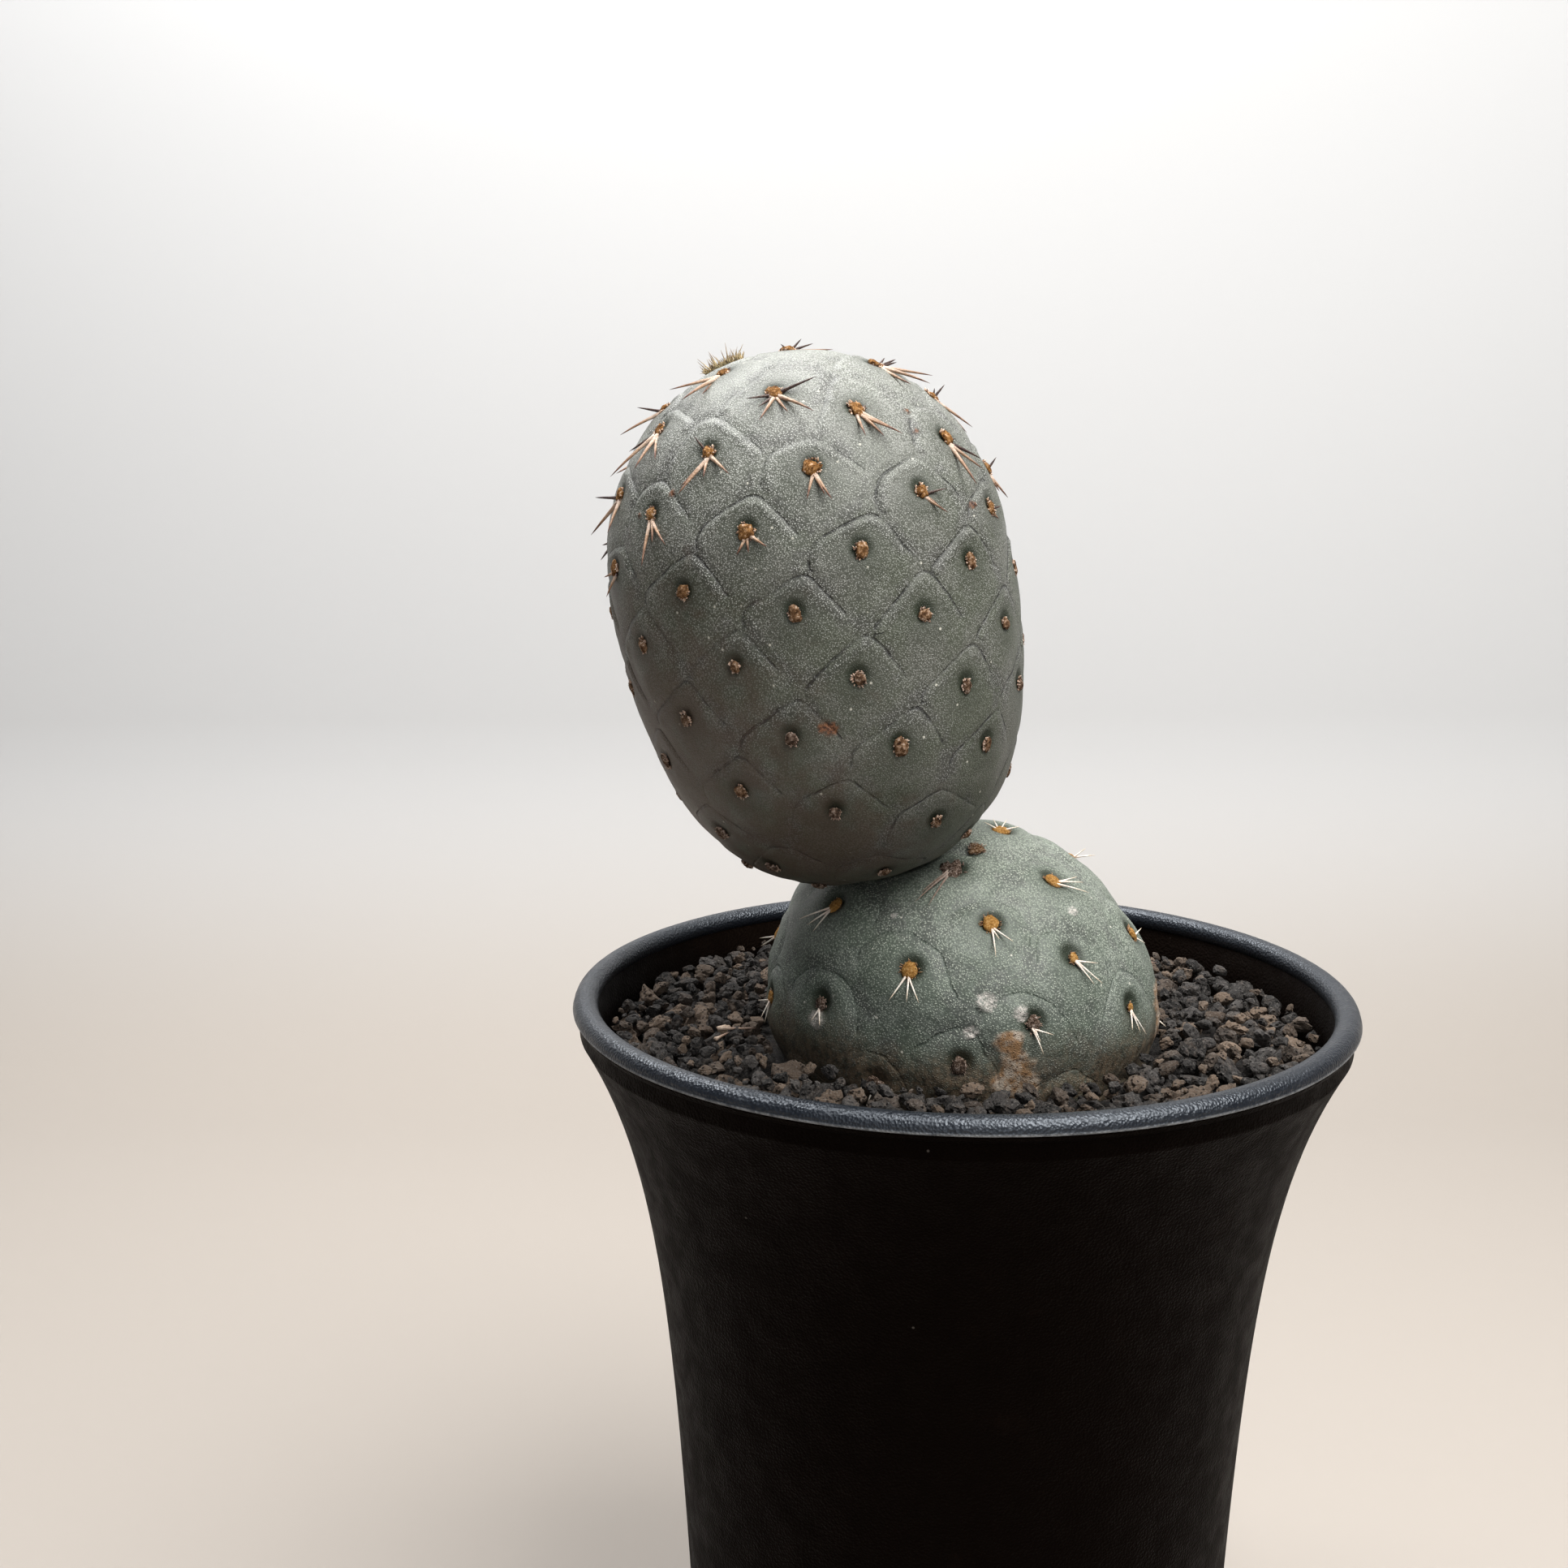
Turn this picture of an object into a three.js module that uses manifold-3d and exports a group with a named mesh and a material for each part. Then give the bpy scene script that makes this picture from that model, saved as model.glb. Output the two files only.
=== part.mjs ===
// Potted Tephrocactus geometricus: a flared black pot, its fill of lava grit, and a plant of two
// stem segments, the upper one leaning out over the shoulder of the lower.
// Millimetres, +Z up, origin at the centre of the pot's foot. The front of the plant faces -Y.
import * as THREE from 'three';
import { ConvexHull } from 'three/addons/math/ConvexHull.js';
import { mergeVertices } from 'three/addons/utils/BufferGeometryUtils.js';
import Module from 'manifold-3d';

// Clearance between neighbouring pieces
const GAP = 0.3;

// Pot. Outside, its radius at a depth below the rim is a tapering cylinder plus a flare that dies away.
const POT_HEIGHT = 100;
const POT_RIM_RADIUS = 45;
const POT_NECK_RADIUS = 35.4;
const POT_TAPER = 0.04;
const POT_FLARE = 11.55;
const POT_FLARE_DEPTH = 17.5;
const POT_WALL = 1.35;
const POT_FLOOR = 2;
const FOOT_RECESS = 2;
const FOOT_WIDTH = 3.4;
const FOOT_BEVEL = 0.8;
const DRAIN_RADIUS = 6;
const LIP_HALF_WIDTH = 1.45;
const LIP_HALF_HEIGHT = 1.35;
const LIP_SEAM = 0.15;
const WALL_START_DEPTH = 4.2;
const INNER_START_DEPTH = 6.5;
const POT_SIDES = 48;

// Grit: a block up to the level where the grains bed, and the top layer of grains
const GRIT_DEPTH = 8;
const GRIT_SIDES = 36;
const GRAIN_COUNT = 86;
const GRAIN_RADIUS = [2.5, 3.6];
const GRAIN_CORNERS = [0.78, 1.08];
const GRAIN_WIDTHS = [0.75, 1];
const GRAIN_THICKNESSES = [0.7, 0.95];
const GRAIN_UNEVENNESS = 0.4;
const GRAIN_RISE = 0.25;
const GRAIN_TILT = 0.6;
const GRAIN_STRAY = 0.05;
const GRAIN_SEED = 7;

// Stem segments. Each is a solid of revolution of two superellipses that meet at its widest part.
const UPPER = {
  radius: 21.7,
  topHeight: 24.1,
  topPower: 2.09,
  baseHeight: 33.3,
  basePower: 2.52,
  centre: [-17.4, -8, POT_HEIGHT + 47.4],
  leanDegrees: -11.8,
};
const LOWER = {
  radius: 22.85,
  topHeight: 18.4,
  topPower: 1.78,
  baseHeight: 19.5,
  basePower: 2.95,
  centre: [0.9, 0, POT_HEIGHT + 0.8],
  leanDegrees: 16.6,
};

// Areoles follow one spiral on each segment, with an equal share of the skin for each
const UPPER_SPIRAL = { count: 93, turnDegrees: 137.65, startDegrees: 176, skew: 1.4 };
const LOWER_SPIRAL = { count: 61, turnDegrees: 137.5, startDegrees: 240, skew: 0 };

// Areoles of the upper segment that were seen off the spiral: [number on it, bearing in degrees, height
// above the widest part]
const UPPER_SEEN = [
  [9, -46, -28.3], [17, -8, -22.5], [20, 47, -19.6], [25, 15, -17], [28, 69, -15], [51, -6, -1.8],
  [54, 47, -0.9], [59, 14, 2.7], [62, 65, 3.6], [67, 36, 6.9], [70, 84, 7.5], [74, -71, 12.8],
  [75, 57, 11.4], [83, 83, 16], [85, 1, 19.4], [87, -82, 20.7], [88, 68, 20.3], [90, -36, 22.7],
  [91, 60, 23.9], [92, -100, 23.7],
];

// The lower segment's areoles on the side that was seen: [bearing in degrees, height above the widest part]
const LOWER_SEEN = [
  [-61, 5.8], [-32, 13.8], [-36, 18.1], [23, 15.4], [-8, 10.3], [-26, 3.4], [23, 9.1],
  [101, 16.7], [69, 11.2], [-49, -4.2], [11, 2], [47, 4.9], [-5, -4.5], [-94, -2.2],
];
const LOWER_SEEN_SPACING = 8;
const EVENING_ROUNDS = 6;

// Tubercles: the low scales between the grooves, each with its areole above its middle
const AREOLE_RISE = 1.6;
const GROOVE_DEPTH = 0.45;
const GROOVE_STEP = 4.6;
const WELT_HEIGHT = 0.12;
const WELT_INSET = 0.9;
const PIT_DEPTH = 0.25;
const CUSHION_RADIUS = 1.1;
const CUSHION_HEIGHT = 0.55;

// Spines: the longest at the tip of the upper segment, none below its middle
const UPPER_FIRST_SPINED = 60;
const UPPER_SPINE_LENGTH = [3.2, 7.2];
const UPPER_SPINES_EACH = [3, 5];
const LOWER_SPINE_LENGTH = [3.2, 4.4];
const LOWER_SPINES_EACH = 3;
const SPINE_RADIUS = 0.4;
const SPINE_SINK = 0.9;
const SPINE_SPREAD = 0.6;
const SPINE_FAN_DEGREES = 75;
const SPINE_STRAY_DEGREES = 9;
const SPINE_SHORTEST_SHARE = 0.75;
const SPINE_LIFT_DEGREES = [16, 34];
const SPINE_SEED = 3;

// Root, hidden in the grit
const ROOT_PROFILE = [[7.5, 6], [6.2, -1], [3.6, -8], [2.6, -20], [1.4, -30]];
const ROOT_SIDES = 12;

const wasm = await Module();
wasm.setup();

const radians = THREE.MathUtils.degToRad;
const lerp = THREE.MathUtils.lerp;

// Seeded random numbers from 0 to 1
function randomFrom(seed) {
  let state = seed;
  return () => {
    state = (state + 0x6d2b79f5) | 0;
    let mixed = Math.imul(state ^ (state >>> 15), 1 | state);
    mixed = (mixed + Math.imul(mixed ^ (mixed >>> 7), 61 | mixed)) ^ mixed;
    return ((mixed ^ (mixed >>> 14)) >>> 0) / 4294967296;
  };
}

// Geometry reduced to its positions, with shared corners merged
function weld(geometry) {
  const bare = geometry.clone();
  bare.deleteAttribute('normal');
  bare.deleteAttribute('uv');
  return mergeVertices(bare, 1e-4);
}

function toSolid(geometry) {
  const welded = weld(geometry);
  const mesh = new wasm.Mesh({
    numProp: 3,
    vertProperties: new Float32Array(welded.attributes.position.array),
    triVerts: new Uint32Array(welded.index.array),
  });
  return new wasm.Manifold(mesh);
}

function toGeometry(solid) {
  const mesh = solid.getMesh();
  const geometry = new THREE.BufferGeometry();
  geometry.setAttribute('position', new THREE.BufferAttribute(new Float32Array(mesh.vertProperties), 3));
  geometry.setIndex(new THREE.BufferAttribute(new Uint32Array(mesh.triVerts), 1));
  const faceted = geometry.toNonIndexed();
  faceted.computeVertexNormals();
  return faceted;
}

function joinAll(first, solids) {
  return wasm.Manifold.union([first, ...solids]);
}

// Solid turned about Z from [radius, height] points that run upwards on the outside
function turned(profile, sides) {
  const points = profile.map(([radius, height]) => new THREE.Vector2(radius, height));
  return new THREE.LatheGeometry(points, sides).rotateX(Math.PI / 2);
}

// Depths that crowd together near the start, where a flared wall curves most
function crowdedDepths(start, end, count) {
  const CROWDING = 1.7;
  return Array.from({ length: count + 1 }, (_, row) => lerp(start, end, (row / count) ** CROWDING));
}

function potOuterRadius(depth) {
  return POT_NECK_RADIUS - POT_TAPER * depth + POT_FLARE * Math.exp(-depth / POT_FLARE_DEPTH);
}

function potInnerRadius(depth) {
  return potOuterRadius(depth) - POT_WALL;
}

// One closed profile: foot, outer wall, rounded lip with its mould seam, inner wall, floor and drain hole
function makePot() {
  const footRadius = potOuterRadius(POT_HEIGHT);
  const lipRadius = POT_RIM_RADIUS - LIP_HALF_WIDTH;
  const floorTop = FOOT_RECESS + POT_FLOOR;
  const profile = [
    [DRAIN_RADIUS, FOOT_RECESS],
    [footRadius - FOOT_WIDTH - FOOT_BEVEL, FOOT_RECESS],
    [footRadius - FOOT_WIDTH, 0],
    [footRadius - FOOT_BEVEL, 0],
  ];
  const outerDepths = crowdedDepths(WALL_START_DEPTH, POT_HEIGHT - FOOT_BEVEL, 9).reverse();
  for (const depth of outerDepths) profile.push([potOuterRadius(depth), POT_HEIGHT - depth]);
  for (let angle = -60; angle <= 180; angle += 30) {
    const seam = angle === 0 ? LIP_SEAM : 0;
    const radius = lipRadius + (LIP_HALF_WIDTH + seam) * Math.cos(radians(angle));
    profile.push([radius, POT_HEIGHT - LIP_HALF_HEIGHT + LIP_HALF_HEIGHT * Math.sin(radians(angle))]);
  }
  for (const depth of crowdedDepths(INNER_START_DEPTH, POT_HEIGHT - floorTop, 6)) {
    profile.push([potInnerRadius(depth), POT_HEIGHT - depth]);
  }
  profile.push([DRAIN_RADIUS, floorTop], [DRAIN_RADIUS, FOOT_RECESS]);
  return toSolid(turned(profile, POT_SIDES));
}

// Point of a segment's skin on the line from its middle through a given point, raised by an offset
function onSkin(shape, point, offset = 0) {
  const [height, power] =
    point.z < 0 ? [shape.baseHeight, shape.basePower] : [shape.topHeight, shape.topPower];
  const across = Math.hypot(point.x, point.y) / shape.radius;
  const along = Math.abs(point.z) / height;
  const scale = (across ** power + along ** power) ** (-1 / power);
  const skin = point.clone().multiplyScalar(scale);
  return skin.setLength(skin.length() + offset);
}

function skinRadius(shape, height) {
  const [reach, power] = height < 0 ? [shape.baseHeight, shape.basePower] : [shape.topHeight, shape.topPower];
  return shape.radius * Math.max(0, 1 - (Math.abs(height) / reach) ** power) ** (1 / power);
}

// Bearing 0 faces the front and grows towards +X
function atBearing(shape, bearing, height) {
  const radius = skinRadius(shape, height);
  return new THREE.Vector3(radius * Math.sin(bearing), -radius * Math.cos(bearing), height);
}

function placement(shape) {
  const turn = new THREE.Matrix4().makeRotationY(radians(shape.leanDegrees));
  return new THREE.Matrix4().makeTranslation(...shape.centre).multiply(turn);
}

// Distance of a placed point outside a segment's smooth skin, along the line to its middle
function clearanceFrom(shape, point) {
  const local = point.clone().applyMatrix4(placement(shape).invert());
  return local.length() - onSkin(shape, local).length();
}

// Heights that leave an equal share of the skin below each, from the base up
function heightAtShare(shape) {
  const STEPS = 600;
  const heights = [];
  const areas = [0];
  for (let step = 0; step <= STEPS; step++) {
    const swing = Math.sin(Math.PI * (step / STEPS - 0.5));
    heights.push(swing * (swing < 0 ? shape.baseHeight : shape.topHeight));
    if (step === 0) continue;
    const low = skinRadius(shape, heights[step - 1]);
    const high = skinRadius(shape, heights[step]);
    const slant = Math.hypot(high - low, heights[step] - heights[step - 1]);
    areas.push(areas[step - 1] + Math.PI * (low + high) * slant);
  }
  return (share) => {
    const wanted = share * areas[STEPS];
    const step = Math.max(1, areas.findIndex((area) => area >= wanted));
    const part = (wanted - areas[step - 1]) / (areas[step] - areas[step - 1]);
    return lerp(heights[step - 1], heights[step], part);
  };
}

// Areole places along the spiral, counted from the base. The skew tips the spiral a little to one side.
function spiralPlaces(shape, { count, turnDegrees, startDegrees, skew }) {
  const nearestPole = 0.3 / count;
  const heightOf = heightAtShare(shape);
  return Array.from({ length: count }, (_, index) => {
    const bearing = radians(startDegrees + turnDegrees * index);
    const share = (index + 0.5 - skew * Math.sin(bearing)) / count;
    return atBearing(shape, bearing, heightOf(THREE.MathUtils.clamp(share, nearestPole, 1 - nearestPole)));
  });
}

// Unit vectors out of the skin, towards the tip along it, and sideways
function skinAxes(shape, point) {
  const [height, power] =
    point.z < 0 ? [shape.baseHeight, shape.basePower] : [shape.topHeight, shape.topPower];
  const spread = Math.max(Math.hypot(point.x, point.y), 1e-6);
  const across = (spread / shape.radius) ** (power - 1) / shape.radius;
  const along = (Math.sign(point.z) * (Math.abs(point.z) / height) ** (power - 1)) / height;
  const out = new THREE.Vector3((point.x / spread) * across, (point.y / spread) * across, along).normalize();
  const tip = new THREE.Vector3(0, 0, 1).addScaledVector(out, -out.z);
  if (tip.length() < 0.05) tip.set(0, 1, 0).addScaledVector(out, -out.y);
  tip.normalize();
  return { out, tip, side: new THREE.Vector3().crossVectors(tip, out) };
}

function slideAlongSkin(shape, point, distance) {
  const { tip } = skinAxes(shape, point);
  return onSkin(shape, point.clone().addScaledVector(tip, distance));
}

// Cells round a set of places: each triangle of the places' hull gives a corner to its three cells,
// and a cell's corners are kept in the order in which the triangles follow round its place
function cellsAround(shape, places) {
  const cells = places.map((middle) => ({ middle, corners: [] }));
  for (const face of new ConvexHull().setFromPoints(places).faces) {
    const edges = [face.edge, face.edge.next, face.edge.next.next];
    const points = edges.map((edge) => edge.head().point);
    const corner = onSkin(shape, equalDistancePoint(...points));
    corner.between = points[0].clone().add(points[1]).add(points[2]).divideScalar(3);
    for (const point of points) cells[places.indexOf(point)].corners.push(corner);
  }
  for (const cell of cells) {
    const { tip, side } = skinAxes(shape, cell.middle);
    const angleOf = ({ between }) => {
      const arm = between.clone().sub(cell.middle);
      return Math.atan2(arm.dot(tip), arm.dot(side));
    };
    cell.corners.sort((a, b) => angleOf(a) - angleOf(b));
  }
  return cells;
}

// Point at the same distance from a triangle's three corners
function equalDistancePoint(a, b, c) {
  const toB = b.clone().sub(a);
  const toC = c.clone().sub(a);
  const normal = toB.clone().cross(toC);
  const fromC = toC.clone().cross(normal).multiplyScalar(toB.lengthSq());
  const fromB = normal.clone().cross(toB).multiplyScalar(toC.lengthSq());
  return a.clone().add(fromC.add(fromB).divideScalar(2 * normal.lengthSq()));
}

function upperPlaces() {
  const places = spiralPlaces(UPPER, UPPER_SPIRAL);
  for (const [number, bearing, height] of UPPER_SEEN) {
    places[number] = atBearing(UPPER, radians(bearing), height);
  }
  return places;
}

// Seen areoles, then spiral ones that keep clear of them, evened out by moving each to its cell's middle
function lowerPlaces() {
  const seen = LOWER_SEEN.map(([bearing, height]) => atBearing(LOWER, radians(bearing), height));
  const isClear = (place) => seen.every((other) => other.distanceTo(place) > LOWER_SEEN_SPACING);
  const hidden = spiralPlaces(LOWER, LOWER_SPIRAL).filter(isClear);
  let places = [...seen, ...hidden];
  for (let round = 0; round < EVENING_ROUNDS; round++) {
    const cells = cellsAround(LOWER, places);
    places = places.map((place, index) => {
      if (index < seen.length) return place;
      const sum = cells[index].corners.reduce((total, corner) => total.add(corner), new THREE.Vector3());
      return onSkin(LOWER, sum);
    });
  }
  return places;
}

// Groove outline of a cell: its corners, with extra points on the long sides
function grooveOutline(shape, corners) {
  return corners.flatMap((corner, index) => {
    const next = corners[(index + 1) % corners.length];
    const pieces = Math.max(1, Math.round(corner.distanceTo(next) / GROOVE_STEP));
    const points = [corner];
    for (let piece = 1; piece < pieces; piece++) {
      const low = corner.clone().multiplyScalar(pieces - piece);
      const high = next.clone().multiplyScalar(piece);
      points.push(onSkin(shape, low.add(high)));
    }
    return points;
  });
}

// Triangles between two rings of points, or from a ring to one point
function stitch(triangles, outer, inner) {
  outer.forEach((point, index) => {
    const next = (index + 1) % outer.length;
    if (inner.length === 1) {
      triangles.push(point, outer[next], inner[0]);
      return;
    }
    triangles.push(point, outer[next], inner[next]);
    triangles.push(point, inner[next], inner[index]);
  });
}

// Skin of a segment as one closed surface: each cell falls from its welt to the groove round it,
// and carries a cushion in a shallow pit unless isPlain says that the cell is out of sight
function segmentSkin(shape, areoles, isPlain) {
  const middles = areoles.map((areole) => slideAlongSkin(shape, areole, -AREOLE_RISE));
  const triangles = [];
  cellsAround(shape, middles).forEach((cell, index) => {
    const outline = grooveOutline(shape, cell.corners);
    const groove = outline.map((point) => onSkin(shape, point, -GROOVE_DEPTH));
    const welt = outline.map((point) => {
      const inset = WELT_INSET / Math.max(point.distanceTo(cell.middle), 2 * WELT_INSET);
      return onSkin(shape, point.clone().lerp(cell.middle, inset), WELT_HEIGHT);
    });
    stitch(triangles, groove, welt);
    if (isPlain(areoles[index])) {
      stitch(triangles, welt, [onSkin(shape, cell.middle)]);
      return;
    }
    const areole = areoles[index];
    const foot = outline.map((point) => {
      const arm = point.clone().sub(areole).setLength(CUSHION_RADIUS);
      return onSkin(shape, areole.clone().add(arm), -PIT_DEPTH);
    });
    stitch(triangles, welt, foot);
    stitch(triangles, foot, [onSkin(shape, areole, CUSHION_HEIGHT)]);
  });
  const geometry = new THREE.BufferGeometry().setFromPoints(triangles);
  return toSolid(geometry.applyMatrix4(placement(shape)));
}

// Three-sided spine from a sunk root to its tip
function makeSpine(root, direction, length) {
  const UP = new THREE.Vector3(0, 1, 0);
  const spine = new THREE.ConeGeometry(SPINE_RADIUS, length, 3).translate(0, length / 2, 0);
  spine.applyQuaternion(new THREE.Quaternion().setFromUnitVectors(UP, direction));
  return spine.translate(root.x, root.y, root.z);
}

// Spines of one areole fan out towards the base of the segment and lie low over the skin
function areoleSpines(shape, areole, count, length, random, keep) {
  const { out, tip, side } = skinAxes(shape, areole);
  const turn = new THREE.Matrix4().extractRotation(placement(shape));
  const spines = [];
  for (let number = 0; number < count; number++) {
    const spread = count > 1 ? number / (count - 1) - 0.5 : 0;
    const stray = lerp(-SPINE_STRAY_DEGREES, SPINE_STRAY_DEGREES, random());
    const fan = radians(2 * SPINE_FAN_DEGREES * spread + stray);
    const lift = radians(lerp(...SPINE_LIFT_DEGREES, random()));
    const along = side.clone().multiplyScalar(Math.sin(fan)).addScaledVector(tip, -Math.cos(fan));
    const root = areole.clone().addScaledVector(out, -SPINE_SINK).addScaledVector(along, SPINE_SPREAD);
    const direction = along.multiplyScalar(Math.cos(lift)).addScaledVector(out, Math.sin(lift));
    root.applyMatrix4(placement(shape));
    direction.applyMatrix4(turn).normalize();
    const reach = SPINE_SINK + length * lerp(SPINE_SHORTEST_SHARE, 1, random());
    const end = root.clone().addScaledVector(direction, reach);
    if (keep(end)) spines.push(toSolid(makeSpine(root, direction, reach)));
  }
  return spines;
}

// A segment's smooth skin grown by an offset, used to cut its neighbour clear of it
function grownSegment(shape, offset, sides = 48) {
  const ROWS = 22;
  const profile = [];
  for (let row = 0; row <= ROWS; row++) {
    const swing = Math.sin(Math.PI * (row / ROWS - 0.5));
    const height = swing * (swing < 0 ? shape.baseHeight : shape.topHeight);
    const skin = onSkin(shape, new THREE.Vector3(skinRadius(shape, height), 0, height), offset);
    profile.push([row % ROWS === 0 ? 0 : skin.x / Math.cos(Math.PI / sides), skin.z]);
  }
  return toSolid(turned(profile, sides).applyMatrix4(placement(shape)));
}

function makeRoot(offset) {
  const base = new THREE.Vector3(0, 0, -LOWER.baseHeight).applyMatrix4(placement(LOWER));
  const rows = [...ROOT_PROFILE].reverse();
  const profile = rows.map(([radius, height]) => [radius + offset, height]);
  profile.unshift([0, rows[0][1] - offset]);
  profile.push([0, rows[rows.length - 1][1]]);
  return toSolid(turned(profile, ROOT_SIDES).translate(base.x, base.y, base.z));
}

function makeUpperSegment() {
  const CONTACT = 1.4;
  const random = randomFrom(SPINE_SEED);
  const areoles = upperPlaces();
  const placed = (point) => point.clone().applyMatrix4(placement(UPPER));
  const skin = segmentSkin(UPPER, areoles, (areole) => clearanceFrom(LOWER, placed(areole)) < CONTACT);
  const insideRim = (end) => Math.hypot(end.x, end.y) < POT_RIM_RADIUS;
  const spines = areoles.flatMap((areole, index) => {
    if (index < UPPER_FIRST_SPINED) return [];
    const share = (index - UPPER_FIRST_SPINED) / (areoles.length - 1 - UPPER_FIRST_SPINED);
    const count = Math.round(lerp(...UPPER_SPINES_EACH, share));
    return areoleSpines(UPPER, areole, count, lerp(...UPPER_SPINE_LENGTH, share), random, insideRim);
  });
  return joinAll(skin, spines);
}

function makeLowerSegment() {
  const BED_MARGIN = 4;
  const GRAIN_TOPS = POT_HEIGHT - GRIT_DEPTH + BED_MARGIN;
  const random = randomFrom(SPINE_SEED + 1);
  const areoles = lowerPlaces();
  const placed = (point) => point.clone().applyMatrix4(placement(LOWER));
  const buried = (areole) => placed(areole).z < GRAIN_TOPS;
  const skin = segmentSkin(LOWER, areoles, buried);
  const isFree = (point) => point.z > GRAIN_TOPS && clearanceFrom(UPPER, point) > 2 * SPINE_RADIUS;
  const spines = areoles.filter((areole) => isFree(placed(areole))).flatMap((areole) => {
    const length = lerp(...LOWER_SPINE_LENGTH, random());
    return areoleSpines(LOWER, areole, LOWER_SPINES_EACH, length, random, isFree);
  });
  const seat = grownSegment(UPPER, GAP + WELT_HEIGHT);
  return joinAll(skin, [makeRoot(0), ...spines]).subtract(seat);
}

// Angular grain: an icosahedron with its corners moved in and out, turned at random
function makeGrain(place, radius, random) {
  const grain = weld(new THREE.IcosahedronGeometry(radius, 0));
  const corners = grain.attributes.position;
  const corner = new THREE.Vector3();
  for (let index = 0; index < corners.count; index++) {
    corner.fromBufferAttribute(corners, index).multiplyScalar(lerp(...GRAIN_CORNERS, random()));
    corners.setXYZ(index, corner.x, corner.y, corner.z);
  }
  grain.scale(1, lerp(...GRAIN_WIDTHS, random()), lerp(...GRAIN_THICKNESSES, random()));
  grain.rotateZ(2 * Math.PI * random()).rotateX(lerp(-GRAIN_TILT, GRAIN_TILT, random()));
  return grain.translate(place.x, place.y, place.z);
}

// Grains spread evenly over the ring between the plant and the wall
function makeGrains() {
  const GOLDEN_TURN = radians(137.508);
  const CENTRE_RADIUS = 20;
  const random = randomFrom(GRAIN_SEED);
  const outer = potInnerRadius(GRIT_DEPTH) - GAP - GRAIN_RADIUS[0];
  return Array.from({ length: GRAIN_COUNT }, (_, index) => {
    const share = (index + 0.5) / GRAIN_COUNT;
    const spread = Math.sqrt(lerp(CENTRE_RADIUS ** 2, outer ** 2, share));
    const largest = potInnerRadius(GRIT_DEPTH) - 2 * GAP - spread;
    const radius = Math.min(lerp(...GRAIN_RADIUS, random()), largest / GRAIN_CORNERS[1]);
    const angle = GOLDEN_TURN * index + lerp(-GRAIN_STRAY, GRAIN_STRAY, random());
    const unevenness = lerp(-GRAIN_UNEVENNESS, GRAIN_UNEVENNESS, random());
    const height = POT_HEIGHT - GRIT_DEPTH + radius * GRAIN_RISE + unevenness;
    const place = new THREE.Vector3(spread * Math.cos(angle), spread * Math.sin(angle), height);
    return toSolid(makeGrain(place, radius, random));
  });
}

function makeGrit() {
  const WALL_CLEARANCE = GAP + 0.1;
  const floorTop = FOOT_RECESS + POT_FLOOR;
  const depths = crowdedDepths(GRIT_DEPTH, POT_HEIGHT - floorTop - GAP, 6).reverse();
  const wall = depths.map((depth) => [potInnerRadius(depth) - WALL_CLEARANCE, POT_HEIGHT - depth]);
  const profile = [[0, wall[0][1]], ...wall, [0, wall[wall.length - 1][1]]];
  const block = toSolid(turned(profile, GRIT_SIDES));
  const hole = grownSegment(LOWER, GAP + WELT_HEIGHT).add(makeRoot(GAP));
  return joinAll(block, makeGrains()).subtract(hole);
}

// The largest of a solid's separate bodies, without the scraps that a cut leaves
function mainBody(solid) {
  return solid.decompose().reduce((best, body) => (body.volume() > best.volume() ? body : best));
}

function makeMesh(name, solid, color, roughness, metalness = 0) {
  const material = new THREE.MeshStandardMaterial({ color, roughness, metalness });
  const mesh = new THREE.Mesh(toGeometry(mainBody(solid)), material);
  mesh.name = name;
  return mesh;
}

const plant = new THREE.Group();
plant.add(makeMesh('pot', makePot(), 0x15171b, 0.5));
plant.add(makeMesh('soil', makeGrit(), 0x2b2724, 0.95));
plant.add(makeMesh('stem_segment_lower', makeLowerSegment(), 0x5d6f60, 0.75));
plant.add(makeMesh('stem_segment_upper', makeUpperSegment(), 0x6b7268, 0.8));

export default plant;
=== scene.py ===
"""Looks of a potted Tephrocactus geometricus: two stem segments in lava grit in a flared black pot.

Shapes are worked out in millimetres and turned into metres where a mesh is made. A segment's own frame
has its middle at its widest part, +Z towards its tip and bearing 0 facing the front, -Y.
"""
import math
import random

import bmesh
import bpy
import numpy as np
from mathutils import Matrix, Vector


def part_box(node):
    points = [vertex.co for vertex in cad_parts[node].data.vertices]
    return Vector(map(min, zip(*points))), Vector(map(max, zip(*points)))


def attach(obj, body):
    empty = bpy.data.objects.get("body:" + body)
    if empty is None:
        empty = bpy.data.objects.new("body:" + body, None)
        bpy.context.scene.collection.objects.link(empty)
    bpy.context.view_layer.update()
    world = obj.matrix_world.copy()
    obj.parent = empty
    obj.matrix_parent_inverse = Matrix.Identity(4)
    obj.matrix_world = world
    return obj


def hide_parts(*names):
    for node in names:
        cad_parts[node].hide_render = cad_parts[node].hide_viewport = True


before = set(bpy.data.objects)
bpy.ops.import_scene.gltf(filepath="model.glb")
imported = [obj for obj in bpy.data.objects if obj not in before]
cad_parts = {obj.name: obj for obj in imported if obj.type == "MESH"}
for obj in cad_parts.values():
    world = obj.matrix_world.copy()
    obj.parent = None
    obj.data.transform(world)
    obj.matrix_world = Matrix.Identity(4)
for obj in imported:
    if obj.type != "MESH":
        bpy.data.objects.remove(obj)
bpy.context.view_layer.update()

MM = 0.001

# Camera, found from the ellipse of the pot's rim
PHOTO_SIZE = 1932
FOCAL_PIXELS = 2116
SENSOR_WIDTH = 36
CAMERA_PLACE = (-20.4, -194.5, 157.9)
CAMERA_PITCH = 10.03
CAMERA_ROLL = -0.34

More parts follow.
